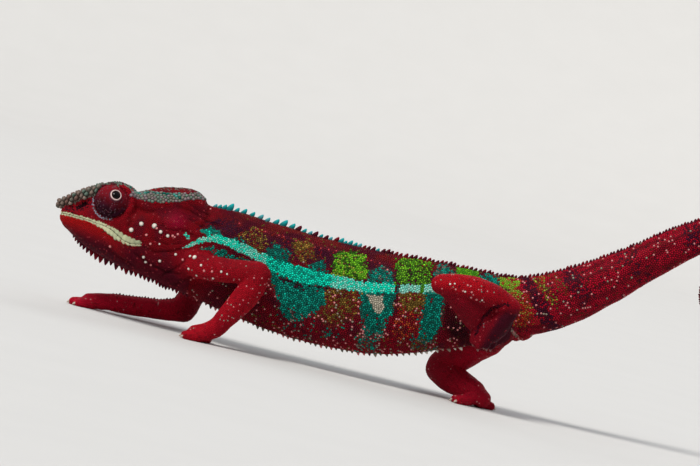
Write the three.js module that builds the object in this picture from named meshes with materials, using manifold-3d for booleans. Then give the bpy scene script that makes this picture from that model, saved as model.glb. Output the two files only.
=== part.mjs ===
// A life-size male panther chameleon in mid stride, as a still museum model.
// Millimetres, +Z up. The head points along -X, the animal's left side along -Y, and the floor is Z = 0.
// Three feet stand on the floor and the left hind foot is lifted, with its toes closed.

import * as THREE from 'three';
import { mergeVertices } from 'three/addons/utils/BufferGeometryUtils.js';
import Module from 'manifold-3d';

const wasm = await Module();
wasm.setup();

// ---------------------------------------------------------------- driving dimensions

const GAP = 0.3; // between two solids that meet
const FLOOR = 1.5; // the soles' level, in the heights below

const HEAD_END_X = -8; // back of the casque
const NECK_END_X = 8;
const WAIST_X = 60; // where the front and rear of the trunk meet
const VENT_X = 121.5; // where the trunk ends and the tail begins; snout to vent is about 190 mm
const TAIL_LENGTH = 196;
const TAIL_ROOT_LEAN = 16; // degrees that the section at the vent leans back
const LEAN_START_X = 92; // where the trunk's sections start to lean towards the tail's

// How many sides each kind of piece has round it, and rings along it.
const SIDES = { body: 18, tail: 12, tailEnd: 8, head: 18, ridge: 6, limb: 8, toe: 6, claw: 4, spine: 3 };
const RINGS = { neck: 4, front: 9, rear: 11, wholeTrunk: 24, head: 14, ridge: 4 };
const LEG_RINGS = { limb: 6, palm: 4, toe: 3, claw: 2 };
const BALLS = { turret: [12, 8], eye: [8, 6], bulge: [10, 8] }; // sides round and up

const COLOURS = { skin: 0x7d0d18, eye: 0x0c0a0a, claw: 0xb79a8e };

// Trunk sections, neck to vent: x, height of the back, height of the belly, half width.
const TRUNK = [
  { x: -8, back: 54.6, belly: 17.4, half: 9.6 },
  { x: 5, back: 55.0, belly: 14.8, half: 11.0 },
  { x: 20, back: 54.1, belly: 12.4, half: 12.2 },
  { x: 40, back: 53.1, belly: 10.6, half: 12.9 },
  { x: 57, back: 53.2, belly: 10.9, half: 12.9 },
  { x: 73, back: 53.7, belly: 12.9, half: 12.3 },
  { x: 88, back: 54.7, belly: 17.4, half: 11.0 },
  { x: 102, back: 55.2, belly: 23.3, half: 9.8 },
  { x: 113, back: 55.7, belly: 28.6, half: 9.0 },
  { x: VENT_X, back: 56.6, belly: 33.0, half: 8.5 },
];
const KEEL_BACK = 1.3; // above 1, the section narrows to a ridge
const KEEL_BELLY = 1.12;

// The tail by distance from the vent: which way it points (degrees above level), half height, half width.
const TAIL = [
  { along: 0, heading: 17, tall: 11.8, half: 8.5 },
  { along: 10, heading: 25, tall: 11.7, half: 8.4 },
  { along: 20, heading: 33, tall: 11.1, half: 8.0 },
  { along: 34, heading: 38, tall: 9.9, half: 7.3 },
  { along: 46, heading: 40, tall: 8.7, half: 6.6 },
  { along: 60, heading: 40, tall: 7.8, half: 6.0 },
  { along: 76, heading: 35, tall: 6.9, half: 5.4 },
  { along: 90, heading: 8, tall: 6.1, half: 4.9 },
  { along: 104, heading: -32, tall: 5.3, half: 4.3 },
  { along: 118, heading: -76, tall: 4.6, half: 3.8 },
  { along: 132, heading: -124, tall: 3.9, half: 3.3 },
  { along: 146, heading: -182, tall: 3.3, half: 2.8 },
  { along: 160, heading: -256, tall: 2.6, half: 2.3 },
  { along: 174, heading: -350, tall: 2.0, half: 1.8 },
  { along: 186, heading: -470, tall: 1.5, half: 1.3 },
  { along: TAIL_LENGTH, heading: -600, tall: 0.8, half: 0.7 },
];
const TAIL_CUTS = [0, 34, 72, 104, 138, TAIL_LENGTH]; // where each length of the tail ends
const TAIL_NAMES = ['tail_base', 'tail_middle', 'tail_arch', 'tail_coil', 'tail_tip'];
const TAIL_KEELS = [1.05, 1]; // back and belly, once the trunk's ridges have died away
const TAIL_EASE = 40; // how far along they do so
const TAIL_STEP = 0.5; // the tail's axis is walked in steps of this length
const TAIL_RING_GAP = { thick: 6, thin: 3.8 };
const TAIL_THIN_FROM = 100;
// The swelling that a male carries under the root of the tail, just behind the vent.
const BULGE = { at: [123.3, 0, 36.6], size: [7.0, 5.6, 5.0] };

// Head sections: top of the skull, side crest, cheek, jaw and throat, each a half width and a height.
const HEAD = [
  { x: -64.2, top: 39.9, crest: [3.4, 40.4], cheek: [3.8, 38.8], jaw: [3.5, 35.8], throat: 34.4 },
  { x: -62.6, top: 41.0, crest: [4.3, 41.8], cheek: [5.1, 39.5], jaw: [5.1, 34.6], throat: 32.4 },
  { x: -60, top: 42.6, crest: [5.0, 43.8], cheek: [6.4, 40.0], jaw: [6.5, 33.8], throat: 30.7 },
  { x: -55.6, top: 45.6, crest: [6.1, 47.2], cheek: [8.2, 40.8], jaw: [8.3, 32.4], throat: 28.2 },
  { x: -50, top: 49.6, crest: [7.3, 51.6], cheek: [9.8, 41.4], jaw: [9.9, 31.0], throat: 25.6 },
  { x: -46, top: 51.2, crest: [7.9, 53.4], cheek: [10.7, 41.4], jaw: [10.9, 30.2], throat: 24.4 },
  { x: -40.5, top: 52.0, crest: [8.2, 53.4], cheek: [11.7, 40.8], jaw: [12.0, 29.6], throat: 22.7 },
  { x: -36.6, top: 52.8, crest: [8.5, 51.4], cheek: [12.2, 40.2], jaw: [12.4, 29.2], throat: 21.8 },
  { x: -30.4, top: 56.3, crest: [8.2, 52.2], cheek: [12.0, 40.6], jaw: [12.2, 28.8], throat: 21.0 },
  { x: -22.8, top: 58.5, crest: [7.0, 53.8], cheek: [11.2, 41.0], jaw: [11.2, 28.0], throat: 20.0 },
  { x: -14.5, top: 59.2, crest: [4.9, 57.0], cheek: [10.2, 41.6], jaw: [10.2, 27.4], throat: 18.2 },
  { x: HEAD_END_X, top: 56.0, crest: [3.2, 54.6], cheek: [9.5, 40.6], jaw: [9.4, 27.0], throat: 17.4 },
];
const SKULL_AXIS = { front: 38, back: 37 }; // height that the head's ends close on

// The closed mouth seen from the side, snout to corner, and the back edge of the jaw below the corner.
const MOUTH = [
  [-70, 37.2],
  [-65, 37.2],
  [-60.8, 37.5],
  [-54.4, 37.5],
  [-48.5, 37.0],
  [-44, 36.5],
  [-40.3, 34.8],
  [-36.5, 32.7],
  [-30.9, 33.2],
];
const JAW_BACK = [-19, 14];

// The left ridge from the snout's tip to the brow, and the brow over the turret.
const CANTHUS = {
  points: [[-65.8, 1.4, 40.9], [-63.2, 2.8, 42.4], [-57.4, 5.2, 46.7], [-51.2, 6.8, 50.4]],
  radii: [1.4, 1.6, 1.5, 1.4],
};
const BROW = {
  points: [[-52.6, 7.0, 50.2], [-48.6, 8.2, 52.7], [-43.6, 8.6, 53.5], [-38.2, 8.4, 51.8]],
  radii: [1.0, 1.4, 1.5, 1.1],
};

const TURRET = { x: -45.5, y: 8.4, z: 46.9, radius: 6.7 };
const GAZE = new THREE.Vector3(0.22, 0.86, 0.45).normalize(); // outwards, up and a little back
const EYE_RADIUS = 2.5;
const EYE_REACH = 4.9; // from the turret's centre
const EYE_CLEARANCE = 0.2;

// Spines: where each row runs, how far apart they stand, and their heights at its two ends.
const BACK_SPINES = { gap: 4.2, from: 5, to: 105, heights: [2.4, 1.0] };
const BELLY_SPINES = { from: 20, to: 108, height: 1.2 };
const THROAT_SPINES = { from: -59, to: -22, gap: 3.4, shrinkFrom: -50, heights: [2.3, 1.3] };
const SPINE_SHAPE = { radius: 0.42, length: 1.6, sunk: 0.6 }; // as shares of its height
const SPINE_MARGIN = { front: 3, back: 2 }; // no spine stands nearer than this to a solid's end

// Each leg: joints from the body outwards, thickness, and the foot with its two bundles of toes.
// A bundle points along yaw (degrees from straight ahead, outwards positive), and holds two or three toes.
const LEGS = {
  front_left: {
    side: -1,
    upper: {
      name: 'upper_arm',
      points: [[-9, 7, 30.6], [-1, 13, 30.8], [9, 18.4, 32.2], [18.2, 21.8, 34.2]],
      radii: [6, 5.4, 5.0, 4.7],
    },
    lower: {
      name: 'forearm',
      points: [[19, 21.8, 33.0], [16.6, 20.4, 25.8], [12.6, 18.4, 17.8], [9, 16.6, 11.6]],
      radii: [5.0, 5.4, 4.9, 4.2],
    },
    palm: {
      points: [[9.6, 16.8, 12.4], [7, 16.4, 8.4], [3, 15.8, 5.6], [-0.6, 15.6, 4.6]],
      radii: [4.2, 4.2, 3.9, 3.3],
    },
    outer: { from: [3.6, 17.2, 5.0], yaw: 10, count: 2, length: 9.0 },
    inner: { from: [4.0, 14.0, 4.8], yaw: -72, count: 3, length: 8.4 },
  },
  front_right: {
    side: 1,
    upper: {
      name: 'upper_arm',
      points: [[-1, 7, 31], [-3.6, 15, 26], [-6.2, 22, 18.6], [-8, 26.2, 11.4]],
      radii: [5.8, 5.4, 5.4, 5.6],
    },
    lower: {
      name: 'forearm',
      points: [[-8.6, 26.0, 9.6], [-17, 24.4, 7.8], [-28, 21.8, 6.6], [-38.5, 19.4, 5.8]],
      radii: [5.4, 4.6, 4.3, 3.8],
    },
    palm: {
      points: [[-37.6, 19.6, 5.8], [-42, 18.8, 5.2], [-46.6, 18.4, 4.6]],
      radii: [3.7, 3.7, 3.3],
    },
    outer: { from: [-44.0, 19.8, 4.0], yaw: 58, count: 2, length: 8.2 },
    inner: { from: [-44.6, 17.4, 4.0], yaw: -10, count: 3, length: 8.8 },
  },
  hind_left: {
    side: -1,
    upper: {
      name: 'thigh',
      points: [[115, 6, 35.5], [106.9, 15.5, 39.5], [98.9, 22, 43.6], [90.6, 25.4, 46.8]],
      radii: [8.8, 7.8, 5.9, 4.3],
    },
    lower: {
      name: 'shin',
      points: [[88.2, 26.0, 47.2], [97, 25.4, 48.8], [108, 23.0, 48.0], [118.2, 20.2, 44.8]],
      radii: [4.6, 5.2, 5.2, 4.4],
    },
    palm: {
      points: [[117.8, 19.8, 43.6], [115.8, 19.0, 38.8], [113.6, 18.2, 33.8]],
      radii: [4.4, 5.1, 4.9],
    },
    raised: true,
    outer: { from: [112.8, 20.0, 35.4], to: [109.6, 18.6, 26.4], count: 3 },
    inner: { from: [116.6, 15.8, 35.6], to: [113.0, 15.0, 26.8], count: 2 },
  },
  hind_right: {
    side: 1,
    upper: {
      name: 'thigh',
      points: [[114, 5, 30], [109.4, 12, 25.2], [104, 18.5, 19], [98.8, 22.8, 13.6]],
      radii: [7.6, 7.4, 7.1, 6.4],
    },
    lower: {
      name: 'shin',
      points: [[98.4, 22.6, 12], [102.4, 17.6, 9.9], [108, 11.8, 8.6], [113.2, 6.8, 7.6]],
      radii: [6.3, 6.3, 5.7, 4.8],
    },
    palm: {
      points: [[113, 7, 7.8], [115.4, 5, 6.2], [117.2, 3, 5.4]],
      radii: [4.4, 4.3, 3.9],
    },
    outer: { from: [115.4, 5.8, 5.0], yaw: 128, count: 3, length: 9.0 },
    inner: { from: [113.8, 2.2, 5.0], yaw: -28, count: 2, length: 9.0 },
  },
};
const TOE = { spread: 3.1, turn: 24, radii: [2.9, 2.5, 2.1], middleShorter: 0.14 };
const TOE_HEIGHTS = { bend: 1.75, end: 1.25 }; // above the floor
const CURLED = { across: 0.86, rootShare: 0.6, bend: -1.2 }; // a closed foot's toes
const CLAW = { length: 2.7, radii: [0.95, 0.7, 0.28], tipHeight: 0.55 };

// ---------------------------------------------------------------- shape tools

const radians = THREE.MathUtils.degToRad;
const vec = (x, y, z) => new THREE.Vector3(x, y, z);
const mirrored = (point, side) => vec(point[0], point[1] * side, point[2]);

// A smooth curve through a table, whose rows hold numbers or lists of numbers. It runs along the column key.
function between(rows, key, at) {
  let i = rows.findIndex((row) => row[key] > at) - 1;
  if (i === -2) i = rows.length - 2;
  i = Math.max(i, 0);
  const four = [i - 1, i, i + 1, i + 2].map((k) => rows[Math.min(Math.max(k, 0), rows.length - 1)]);
  const [, low, high] = four;
  const span = high[key] - low[key];
  const t = Math.min(Math.max((at - low[key]) / span, 0), 1);
  const mix = (pick) => {
    const [a, b, c, d] = four.map(pick);
    const before = four[1][key] - four[0][key] || span;
    const after = four[3][key] - four[2][key] || span;
    const m1 = (((b - a) / before + (c - b) / span) / 2) * span;
    const m2 = (((c - b) / span + (d - c) / after) / 2) * span;
    const ends = (2 * t ** 3 - 3 * t ** 2 + 1) * b + (-2 * t ** 3 + 3 * t ** 2) * c;
    return ends + (t ** 3 - 2 * t ** 2 + t) * m1 + (t ** 3 - t ** 2) * m2;
  };
  const found = {};
  for (const name of Object.keys(low)) {
    const value = low[name];
    const list = Array.isArray(value);
    found[name] = list ? value.map((_, k) => mix((row) => row[name][k])) : mix((row) => row[name]);
  }
  found[key] = at;
  return found;
}

// Bends a closed cylinder into shape: place(along, angle) gives its surface, and middle(along) the axis
// that its end caps close on.
function wrapped(sides, rings, place, middle) {
  const geometry = new THREE.CylinderGeometry(1, 1, 1, sides, rings);
  const points = geometry.getAttribute('position');
  for (let i = 0; i < points.count; i += 1) {
    const along = 0.5 - points.getY(i);
    const onAxis = Math.hypot(points.getX(i), points.getZ(i)) < 0.5;
    const angle = Math.atan2(points.getX(i), points.getZ(i));
    const at = onAxis ? middle(along) : place(along, angle);
    points.setXYZ(i, at.x, at.y, at.z);
  }
  return geometry;
}

// A geometry as a solid that can be joined and cut.
function solid(geometry) {
  const bare = geometry.clone();
  bare.deleteAttribute('normal');
  bare.deleteAttribute('uv');
  const merged = mergeVertices(bare, 1e-3);
  const made = new wasm.Manifold(
    new wasm.Mesh({
      numProp: 3,
      vertProperties: new Float32Array(merged.getAttribute('position').array),
      triVerts: new Uint32Array(merged.index.array),
    }),
  );
  return made.volume() >= 0 ? made : turnedOut(merged);
}

// The same solid with its faces turned round, for a wrap that runs the other way.
function turnedOut(merged) {
  const index = new Uint32Array(merged.index.array);
  for (let i = 0; i < index.length; i += 3) {
    [index[i + 1], index[i + 2]] = [index[i + 2], index[i + 1]];
  }
  const vertProperties = new Float32Array(merged.getAttribute('position').array);
  return new wasm.Manifold(new wasm.Mesh({ numProp: 3, vertProperties, triVerts: index }));
}

const joined = (parts) => parts.reduce((whole, part) => whole.add(part));

function aboveFloor(shape) {
  return shape.trimByPlane([0, 0, 1], FLOOR);
}

// A round limb along a curve through points, with the radius given at each point and both ends rounded.
function limb(points, radii, { grow = 0, sides = SIDES.limb, rings = LEG_RINGS.limb } = {}) {
  const curve = new THREE.CatmullRomCurve3(points, false, 'centripetal');
  const frames = curve.computeFrenetFrames(rings, false);
  const sizes = radii.map((radius, i) => ({ at: i / (radii.length - 1), radius }));
  const place = (along, angle) => {
    const k = Math.round(along * rings);
    const rounding = 0.25 + 0.75 * Math.sqrt(Math.max(0, 1 - (along * 2 - 1) ** 8));
    const radius = (between(sizes, 'at', along).radius + grow) * rounding;
    return curve
      .getPoint(along)
      .addScaledVector(frames.normals[k], Math.cos(angle) * radius)
      .addScaledVector(frames.binormals[k], Math.sin(angle) * radius);
  };
  return solid(wrapped(sides, rings, place, (along) => curve.getPoint(along)));
}

function ball(radius, [around, up], centre) {
  return solid(new THREE.SphereGeometry(radius, around, up).translate(centre.x, centre.y, centre.z));
}

// ---------------------------------------------------------------- neck, trunk and tail

// A point on a section: angle 0 is the back and 180 degrees the belly.
function onSection(middle, lean, tall, half, angle, grow, keels) {
  const keel = Math.cos(angle) > 0 ? keels[0] : keels[1];
  const across = Math.sign(Math.sin(angle)) * Math.abs(Math.sin(angle)) ** keel * (half + grow);
  const up = Math.cos(angle) * (tall + grow);
  return vec(middle.x - Math.sin(lean) * up, across, middle.z + Math.cos(lean) * up);
}

// Where the trunk's own axis leans into the tail's, so that the sections don't jump at the vent.
function trunkLean(x) {
  return radians(TAIL_ROOT_LEAN) * THREE.MathUtils.smoothstep(x, LEAN_START_X, VENT_X);
}

function trunkPoint(x, angle, grow = 0) {
  const row = between(TRUNK, 'x', x);
  const middle = vec(x, 0, (row.back + row.belly) / 2);
  const tall = (row.back - row.belly) / 2;
  return onSection(middle, trunkLean(x), tall, row.half, angle, grow, [KEEL_BACK, KEEL_BELLY]);
}

function trunkLength(from, to, rings, grow = 0) {
  const at = (along) => from + (to - from) * along;
  const middle = (along) => {
    const row = between(TRUNK, 'x', at(along));
    return vec(at(along), 0, (row.back + row.belly) / 2);
  };
  const place = (along, angle) => trunkPoint(at(along), angle, grow);
  return solid(wrapped(SIDES.body, rings, place, middle));
}

// The tail's axis, found by walking along its heading in small steps.
function walkTail() {
  const last = TRUNK.at(-1);
  const at = vec(VENT_X, 0, (last.back + last.belly) / 2);
  const steps = [];
  for (let along = 0; along <= TAIL_LENGTH; along += TAIL_STEP) {
    const heading = radians(between(TAIL, 'along', along).heading);
    steps.push({ at: at.clone(), heading });
    at.add(vec(Math.cos(heading), 0, Math.sin(heading)).multiplyScalar(TAIL_STEP));
  }
  return steps;
}

const tailAxis = walkTail();
const onTailAxis = (along) => tailAxis[Math.min(Math.round(along / TAIL_STEP), tailAxis.length - 1)];

function tailPoint(along, angle) {
  const row = between(TAIL, 'along', along);
  const { at, heading } = onTailAxis(along);
  const ease = THREE.MathUtils.smoothstep(along, 0, TAIL_EASE);
  const keels = [KEEL_BACK, KEEL_BELLY].map((keel, i) => THREE.MathUtils.lerp(keel, TAIL_KEELS[i], ease));
  return onSection(at, heading, row.tall, row.half, angle, 0, keels);
}

function tailBulge() {
  const swelling = new THREE.SphereGeometry(1, ...BALLS.bulge);
  return solid(swelling.scale(...BULGE.size).translate(...BULGE.at));
}

function tailPiece(from, to) {
  const thin = from > TAIL_THIN_FROM;
  const rings = Math.round((to - from) / (thin ? TAIL_RING_GAP.thin : TAIL_RING_GAP.thick));
  const sides = thin ? SIDES.tailEnd : SIDES.tail;
  const at = (along) => from + (to - from) * along;
  const place = (along, angle) => tailPoint(at(along), angle);
  return solid(wrapped(sides, rings, place, (along) => onTailAxis(at(along)).at));
}

// ---------------------------------------------------------------- head

// Half a head section runs top, crest, temple, cheek, jaw, throat, and the other half mirrors it.
function headPoint(x, angle, grow = 0) {
  const row = between(HEAD, 'x', x);
  const temple = [(row.crest[0] + row.cheek[0]) / 2 - 0.4, (row.crest[1] + row.cheek[1]) / 2];
  const under = [row.jaw[0] * 0.6, row.throat + (row.jaw[1] - row.throat) * 0.2];
  const stops = [[0, row.top], row.crest, temple, row.cheek, row.jaw, under, [0, row.throat]];
  const outline = stops.map(([y, z], i) => ({ share: i, y, z }));
  const { y, z } = between(outline, 'share', (Math.abs(angle) / Math.PI) * (stops.length - 1));
  const centre = (row.top + row.throat) / 2;
  return vec(x, Math.sign(angle) * (y + grow * Math.min(y, 1)), z + grow * Math.sign(z - centre));
}

function skullShape(grow = 0) {
  const from = HEAD[0].x;
  const at = (along) => from + (HEAD_END_X - from) * along;
  const height = (along) => THREE.MathUtils.lerp(SKULL_AXIS.front, SKULL_AXIS.back, along);
  const middle = (along) => vec(at(along), 0, height(along));
  const place = (along, angle) => headPoint(at(along), angle, grow);
  return solid(wrapped(SIDES.head, RINGS.head, place, middle));
}

// The two canthal ridges run forward past the lip and meet in a blunt tip. A thick brow stands over each
// turret, and makes the top of the head's outline there.
function ridges() {
  const options = { sides: SIDES.ridge, rings: RINGS.ridge };
  const found = [];
  for (const side of [-1, 1]) {
    for (const { points, radii } of [CANTHUS, BROW]) {
      found.push(limb(points.map((point) => mirrored(point, side)), radii, options));
    }
  }
  return joined(found);
}

// Everything below the mouth line and in front of the jaw's back edge, shrunk or grown by an edge.
function jawRegion(edge) {
  const outline = new THREE.Shape(MOUTH.map(([x, z]) => new THREE.Vector2(x + edge, z + edge)));
  outline.lineTo(JAW_BACK[0] + edge, JAW_BACK[1] + edge);
  outline.lineTo(MOUTH[0][0] + edge, JAW_BACK[1]);
  const width = 40;
  const block = new THREE.ExtrudeGeometry(outline, { depth: width, bevelEnabled: false });
  block.rotateX(Math.PI / 2).translate(0, width / 2, 0);
  return solid(block);
}

// Everything well behind the jaw, which keeps the throat's spines out of the skull.
function behindJaw() {
  const size = 60;
  const margin = 3;
  const block = new THREE.BoxGeometry(size, size, size);
  return solid(block.translate(JAW_BACK[0] + margin + size / 2, 0, 0));
}

function turretBall(side, radius) {
  return ball(radius, BALLS.turret, vec(TURRET.x, side * TURRET.y, TURRET.z));
}

function eyeBall(side, radius) {
  const centre = vec(TURRET.x, TURRET.y, TURRET.z).addScaledVector(GAZE, EYE_REACH);
  return ball(radius, BALLS.eye, centre.setY(centre.y * side));
}

// ---------------------------------------------------------------- spines

// One pointed scale of a crest, standing on a surface and leaning back.
function spine(at, out, height) {
  const length = height * SPINE_SHAPE.length;
  const cone = new THREE.ConeGeometry(height * SPINE_SHAPE.radius, length, SIDES.spine);
  cone.translate(0, length / 2 - height * SPINE_SHAPE.sunk, 0);
  cone.applyQuaternion(new THREE.Quaternion().setFromUnitVectors(vec(0, 1, 0), out.clone().normalize()));
  return solid(cone.translate(at.x, at.y, at.z));
}

function shrinking([first, last], from, to, x) {
  return THREE.MathUtils.lerp(first, last, THREE.MathUtils.smoothstep(x, from, to));
}

// The crest along the back, tall at the neck, and the small one along the belly.
function trunkSpines(from, to) {
  const found = [];
  const { gap, heights } = BACK_SPINES;
  for (let x = from + SPINE_MARGIN.front; x < to - SPINE_MARGIN.back; x += gap) {
    const height = shrinking(heights, BACK_SPINES.from, BACK_SPINES.to, x);
    found.push(spine(trunkPoint(x, 0), vec(0.35, 0, 1), height));
    if (x > BELLY_SPINES.from && x < BELLY_SPINES.to) {
      found.push(spine(trunkPoint(x, Math.PI), vec(0.35, 0, -1), BELLY_SPINES.height));
    }
  }
  return found;
}

function throatSpines() {
  const { from, to, gap, shrinkFrom, heights } = THROAT_SPINES;
  const found = [];
  for (let x = from; x < to; x += gap) {
    const { throat } = between(HEAD, 'x', x);
    found.push(spine(vec(x, 0, throat), vec(0.1, 0, -1), shrinking(heights, shrinkFrom, to, x)));
  }
  return found;
}

// ---------------------------------------------------------------- legs

// A toe of a closed foot, curled beside its neighbours.
function curledToe(leg, bundle, offset, share) {
  const start = mirrored(bundle.from, leg.side);
  const way = mirrored(bundle.to, leg.side).sub(start);
  const across = vec(1, 0, -0.1).multiplyScalar(offset * TOE.spread * CURLED.across);
  const from = start.clone().addScaledVector(across, CURLED.rootShare);
  const to = start.clone().addScaledVector(way, share).add(across);
  const bend = from.clone().lerp(to, 0.55).add(vec(CURLED.bend, 0, 0));
  return { from, bend, to, down: vec(0.75, 0, -0.65) };
}

// A toe spread on the floor.
function flatToe(leg, bundle, offset, share) {
  const from = mirrored(bundle.from, leg.side);
  const yaw = radians(bundle.yaw + offset * TOE.turn);
  const way = vec(-Math.cos(yaw), Math.sin(yaw) * leg.side, 0);
  const to = from.clone().addScaledVector(way, bundle.length * share).setZ(FLOOR + TOE_HEIGHTS.end);
  const bend = from.clone().lerp(to, 0.55).setZ(FLOOR + TOE_HEIGHTS.bend);
  return { from, bend, to, down: vec(0, 0, -1) };
}

function toes(leg, bundle) {
  const found = [];
  for (let i = 0; i < bundle.count; i += 1) {
    const offset = i - (bundle.count - 1) / 2;
    const share = 1 - Math.abs(offset) * TOE.middleShorter;
    found.push(leg.raised ? curledToe(leg, bundle, offset, share) : flatToe(leg, bundle, offset, share));
  }
  return found;
}

function toeShape({ from, bend, to }, grow = 0) {
  return limb([from, bend, to], TOE.radii, { grow, sides: SIDES.toe, rings: LEG_RINGS.toe });
}

// A hooked claw that starts in the toe's tip and bends towards the sole.
function claw({ bend, to, down }, standing) {
  const way = to.clone().sub(bend).normalize();
  const root = to.clone().addScaledVector(way, -0.4);
  const step = (ahead, hook) =>
    root.clone().addScaledVector(way, CLAW.length * ahead).addScaledVector(down, CLAW.length * hook);
  const tip = step(0.95, 0.42);
  if (standing) tip.z = FLOOR + CLAW.tipHeight;
  return limb([root, step(0.55, 0.05), tip], CLAW.radii, { sides: SIDES.claw, rings: LEG_RINGS.claw });
}

// All the solids of one leg, each cut back from those nearer the body.
function legSolids(name, leg, body) {
  const part = (shape, rings, grow = 0) =>
    limb(shape.points.map((point) => mirrored(point, leg.side)), shape.radii, { rings, grow });
  const upperGrown = part(leg.upper, LEG_RINGS.limb, GAP);
  const nearer = upperGrown.add(part(leg.lower, LEG_RINGS.limb, GAP));
  const found = {
    [leg.upper.name]: part(leg.upper, LEG_RINGS.limb).subtract(body),
    [leg.lower.name]: part(leg.lower, LEG_RINGS.limb).subtract(upperGrown).subtract(body),
    palm: part(leg.palm, LEG_RINGS.palm).subtract(nearer).subtract(body),
  };
  let taken = nearer.add(part(leg.palm, LEG_RINGS.palm, GAP));
  const all = [];
  for (const which of ['outer', 'inner']) {
    const bundle = toes(leg, leg[which]);
    found[`${which}_toes`] = joined(bundle.map((toe) => toeShape(toe))).subtract(taken);
    taken = taken.add(joined(bundle.map((toe) => toeShape(toe, GAP))));
    all.push(...bundle);
  }
  all.forEach((toe, i) => {
    found[`claw_${i + 1}`] = claw(toe, !leg.raised).subtract(taken);
  });
  const finish = (shape) => largest(leg.raised ? shape : aboveFloor(shape));
  return Object.entries(found).map(([piece, shape]) => [`${name}_${piece}`, finish(shape)]);
}

// A cut can leave a sliver beside the piece: only the piece is kept.
function largest(shape) {
  return shape.decompose().sort((a, b) => b.volume() - a.volume())[0];
}

// ---------------------------------------------------------------- the animal

const chameleon = new THREE.Group();

const materials = {
  skin: new THREE.MeshStandardMaterial({ color: COLOURS.skin, roughness: 0.6, metalness: 0 }),
  eye: new THREE.MeshStandardMaterial({ color: COLOURS.eye, roughness: 0.1, metalness: 0 }),
  claw: new THREE.MeshStandardMaterial({ color: COLOURS.claw, roughness: 0.4, metalness: 0 }),
};

function addNode(name, shape, material) {
  const mesh = shape.getMesh();
  const geometry = new THREE.BufferGeometry();
  geometry.setAttribute('position', new THREE.BufferAttribute(mesh.vertProperties, 3));
  geometry.setIndex(new THREE.BufferAttribute(mesh.triVerts, 1));
  geometry.computeVertexNormals();
  const node = new THREE.Mesh(geometry, material);
  node.name = name;
  chameleon.add(node);
}

function addHead() {
  const head = skullShape().add(ridges());
  const sockets = joined([-1, 1].map((side) => turretBall(side, TURRET.radius + GAP)));
  const skull = largest(head.subtract(jawRegion(GAP)).subtract(sockets));
  const jaw = largest(joined([head.intersect(jawRegion(0)), ...throatSpines()]).subtract(sockets));
  addNode('head', skull, materials.skin);
  addNode('lower_jaw', jaw.subtract(behindJaw()), materials.skin);
  for (const [side, word] of [[-1, 'left'], [1, 'right']]) {
    const socket = eyeBall(side, EYE_RADIUS + EYE_CLEARANCE);
    addNode(`eye_turret_${word}`, turretBall(side, TURRET.radius).subtract(socket), materials.skin);
    addNode(`eye_${word}`, eyeBall(side, EYE_RADIUS), materials.eye);
  }
}

function addTrunk() {
  const lengths = [
    ['neck', HEAD_END_X + GAP, NECK_END_X, RINGS.neck],
    ['trunk_front', NECK_END_X + GAP, WAIST_X, RINGS.front],
    ['trunk_rear', WAIST_X + GAP, VENT_X, RINGS.rear],
  ];
  for (const [name, from, to, rings] of lengths) {
    addNode(name, joined([trunkLength(from, to, rings), ...trunkSpines(from, to)]), materials.skin);
  }
}

function addTail(trunk) {
  TAIL_NAMES.forEach((name, i) => {
    const length = tailPiece(TAIL_CUTS[i] + GAP, TAIL_CUTS[i + 1]);
    addNode(name, i === 0 ? length.add(tailBulge().subtract(trunk)) : length, materials.skin);
  });
}

function addLegs(trunk) {
  const body = joined([trunk, tailPiece(0, TAIL_CUTS[1]), skullShape(GAP)]);
  for (const [name, leg] of Object.entries(LEGS)) {
    for (const [node, shape] of legSolids(name, leg, body)) {
      addNode(node, shape, node.includes('claw') ? materials.claw : materials.skin);
    }
  }
}

const wholeTrunk = trunkLength(HEAD_END_X, VENT_X, RINGS.wholeTrunk, GAP);
addHead();
addTrunk();
addTail(wholeTrunk);
addLegs(wholeTrunk);

// The origin is under the middle of the animal, on the floor.
const bounds = new THREE.Box3().setFromObject(chameleon);
const middle = bounds.getCenter(vec(0, 0, 0));
chameleon.position.set(-middle.x, -middle.y, -bounds.min.z);

export default chameleon;
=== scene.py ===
"""A panther chameleon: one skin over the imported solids, with its scales, crests, eyes and claws.

Lengths are in millimetres in the body's own frame until a piece is made. In that frame the head points
along -X, the animal's left side along -Y, Y = 0 is its mid-plane, and the soles are at SOLES.
"""

import math

import bpy
import numpy as np
from mathutils import Matrix, Vector
from mathutils.bvhtree import BVHTree
from mathutils.kdtree import KDTree


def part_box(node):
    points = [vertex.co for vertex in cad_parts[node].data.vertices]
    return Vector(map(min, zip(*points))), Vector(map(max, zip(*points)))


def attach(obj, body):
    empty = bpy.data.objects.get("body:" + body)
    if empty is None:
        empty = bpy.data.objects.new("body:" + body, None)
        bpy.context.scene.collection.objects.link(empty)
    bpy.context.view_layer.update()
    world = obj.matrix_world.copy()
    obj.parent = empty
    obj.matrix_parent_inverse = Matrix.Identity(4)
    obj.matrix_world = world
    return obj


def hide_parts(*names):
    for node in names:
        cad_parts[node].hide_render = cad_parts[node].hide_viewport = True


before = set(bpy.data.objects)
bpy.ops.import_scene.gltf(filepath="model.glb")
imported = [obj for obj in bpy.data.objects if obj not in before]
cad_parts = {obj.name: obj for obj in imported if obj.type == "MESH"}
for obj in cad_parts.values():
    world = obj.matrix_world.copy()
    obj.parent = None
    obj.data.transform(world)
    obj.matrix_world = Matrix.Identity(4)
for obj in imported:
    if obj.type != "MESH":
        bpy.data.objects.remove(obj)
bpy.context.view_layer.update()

MM = 0.001
SOLES = 1.5  # height of the soles in the body's frame
NECK_START = -7.7  # where the neck's solid starts, in the body's frame
neck_low, neck_high = (np.array(corner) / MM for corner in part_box("neck"))
ORIGIN = np.array([neck_low[0] - NECK_START, (neck_low[1] + neck_high[1]) / 2, -SOLES])

SEED = 7
rng = np.random.default_rng(SEED)


def to_body(metres):
    return np.asarray(metres, float) / MM - ORIGIN


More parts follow.
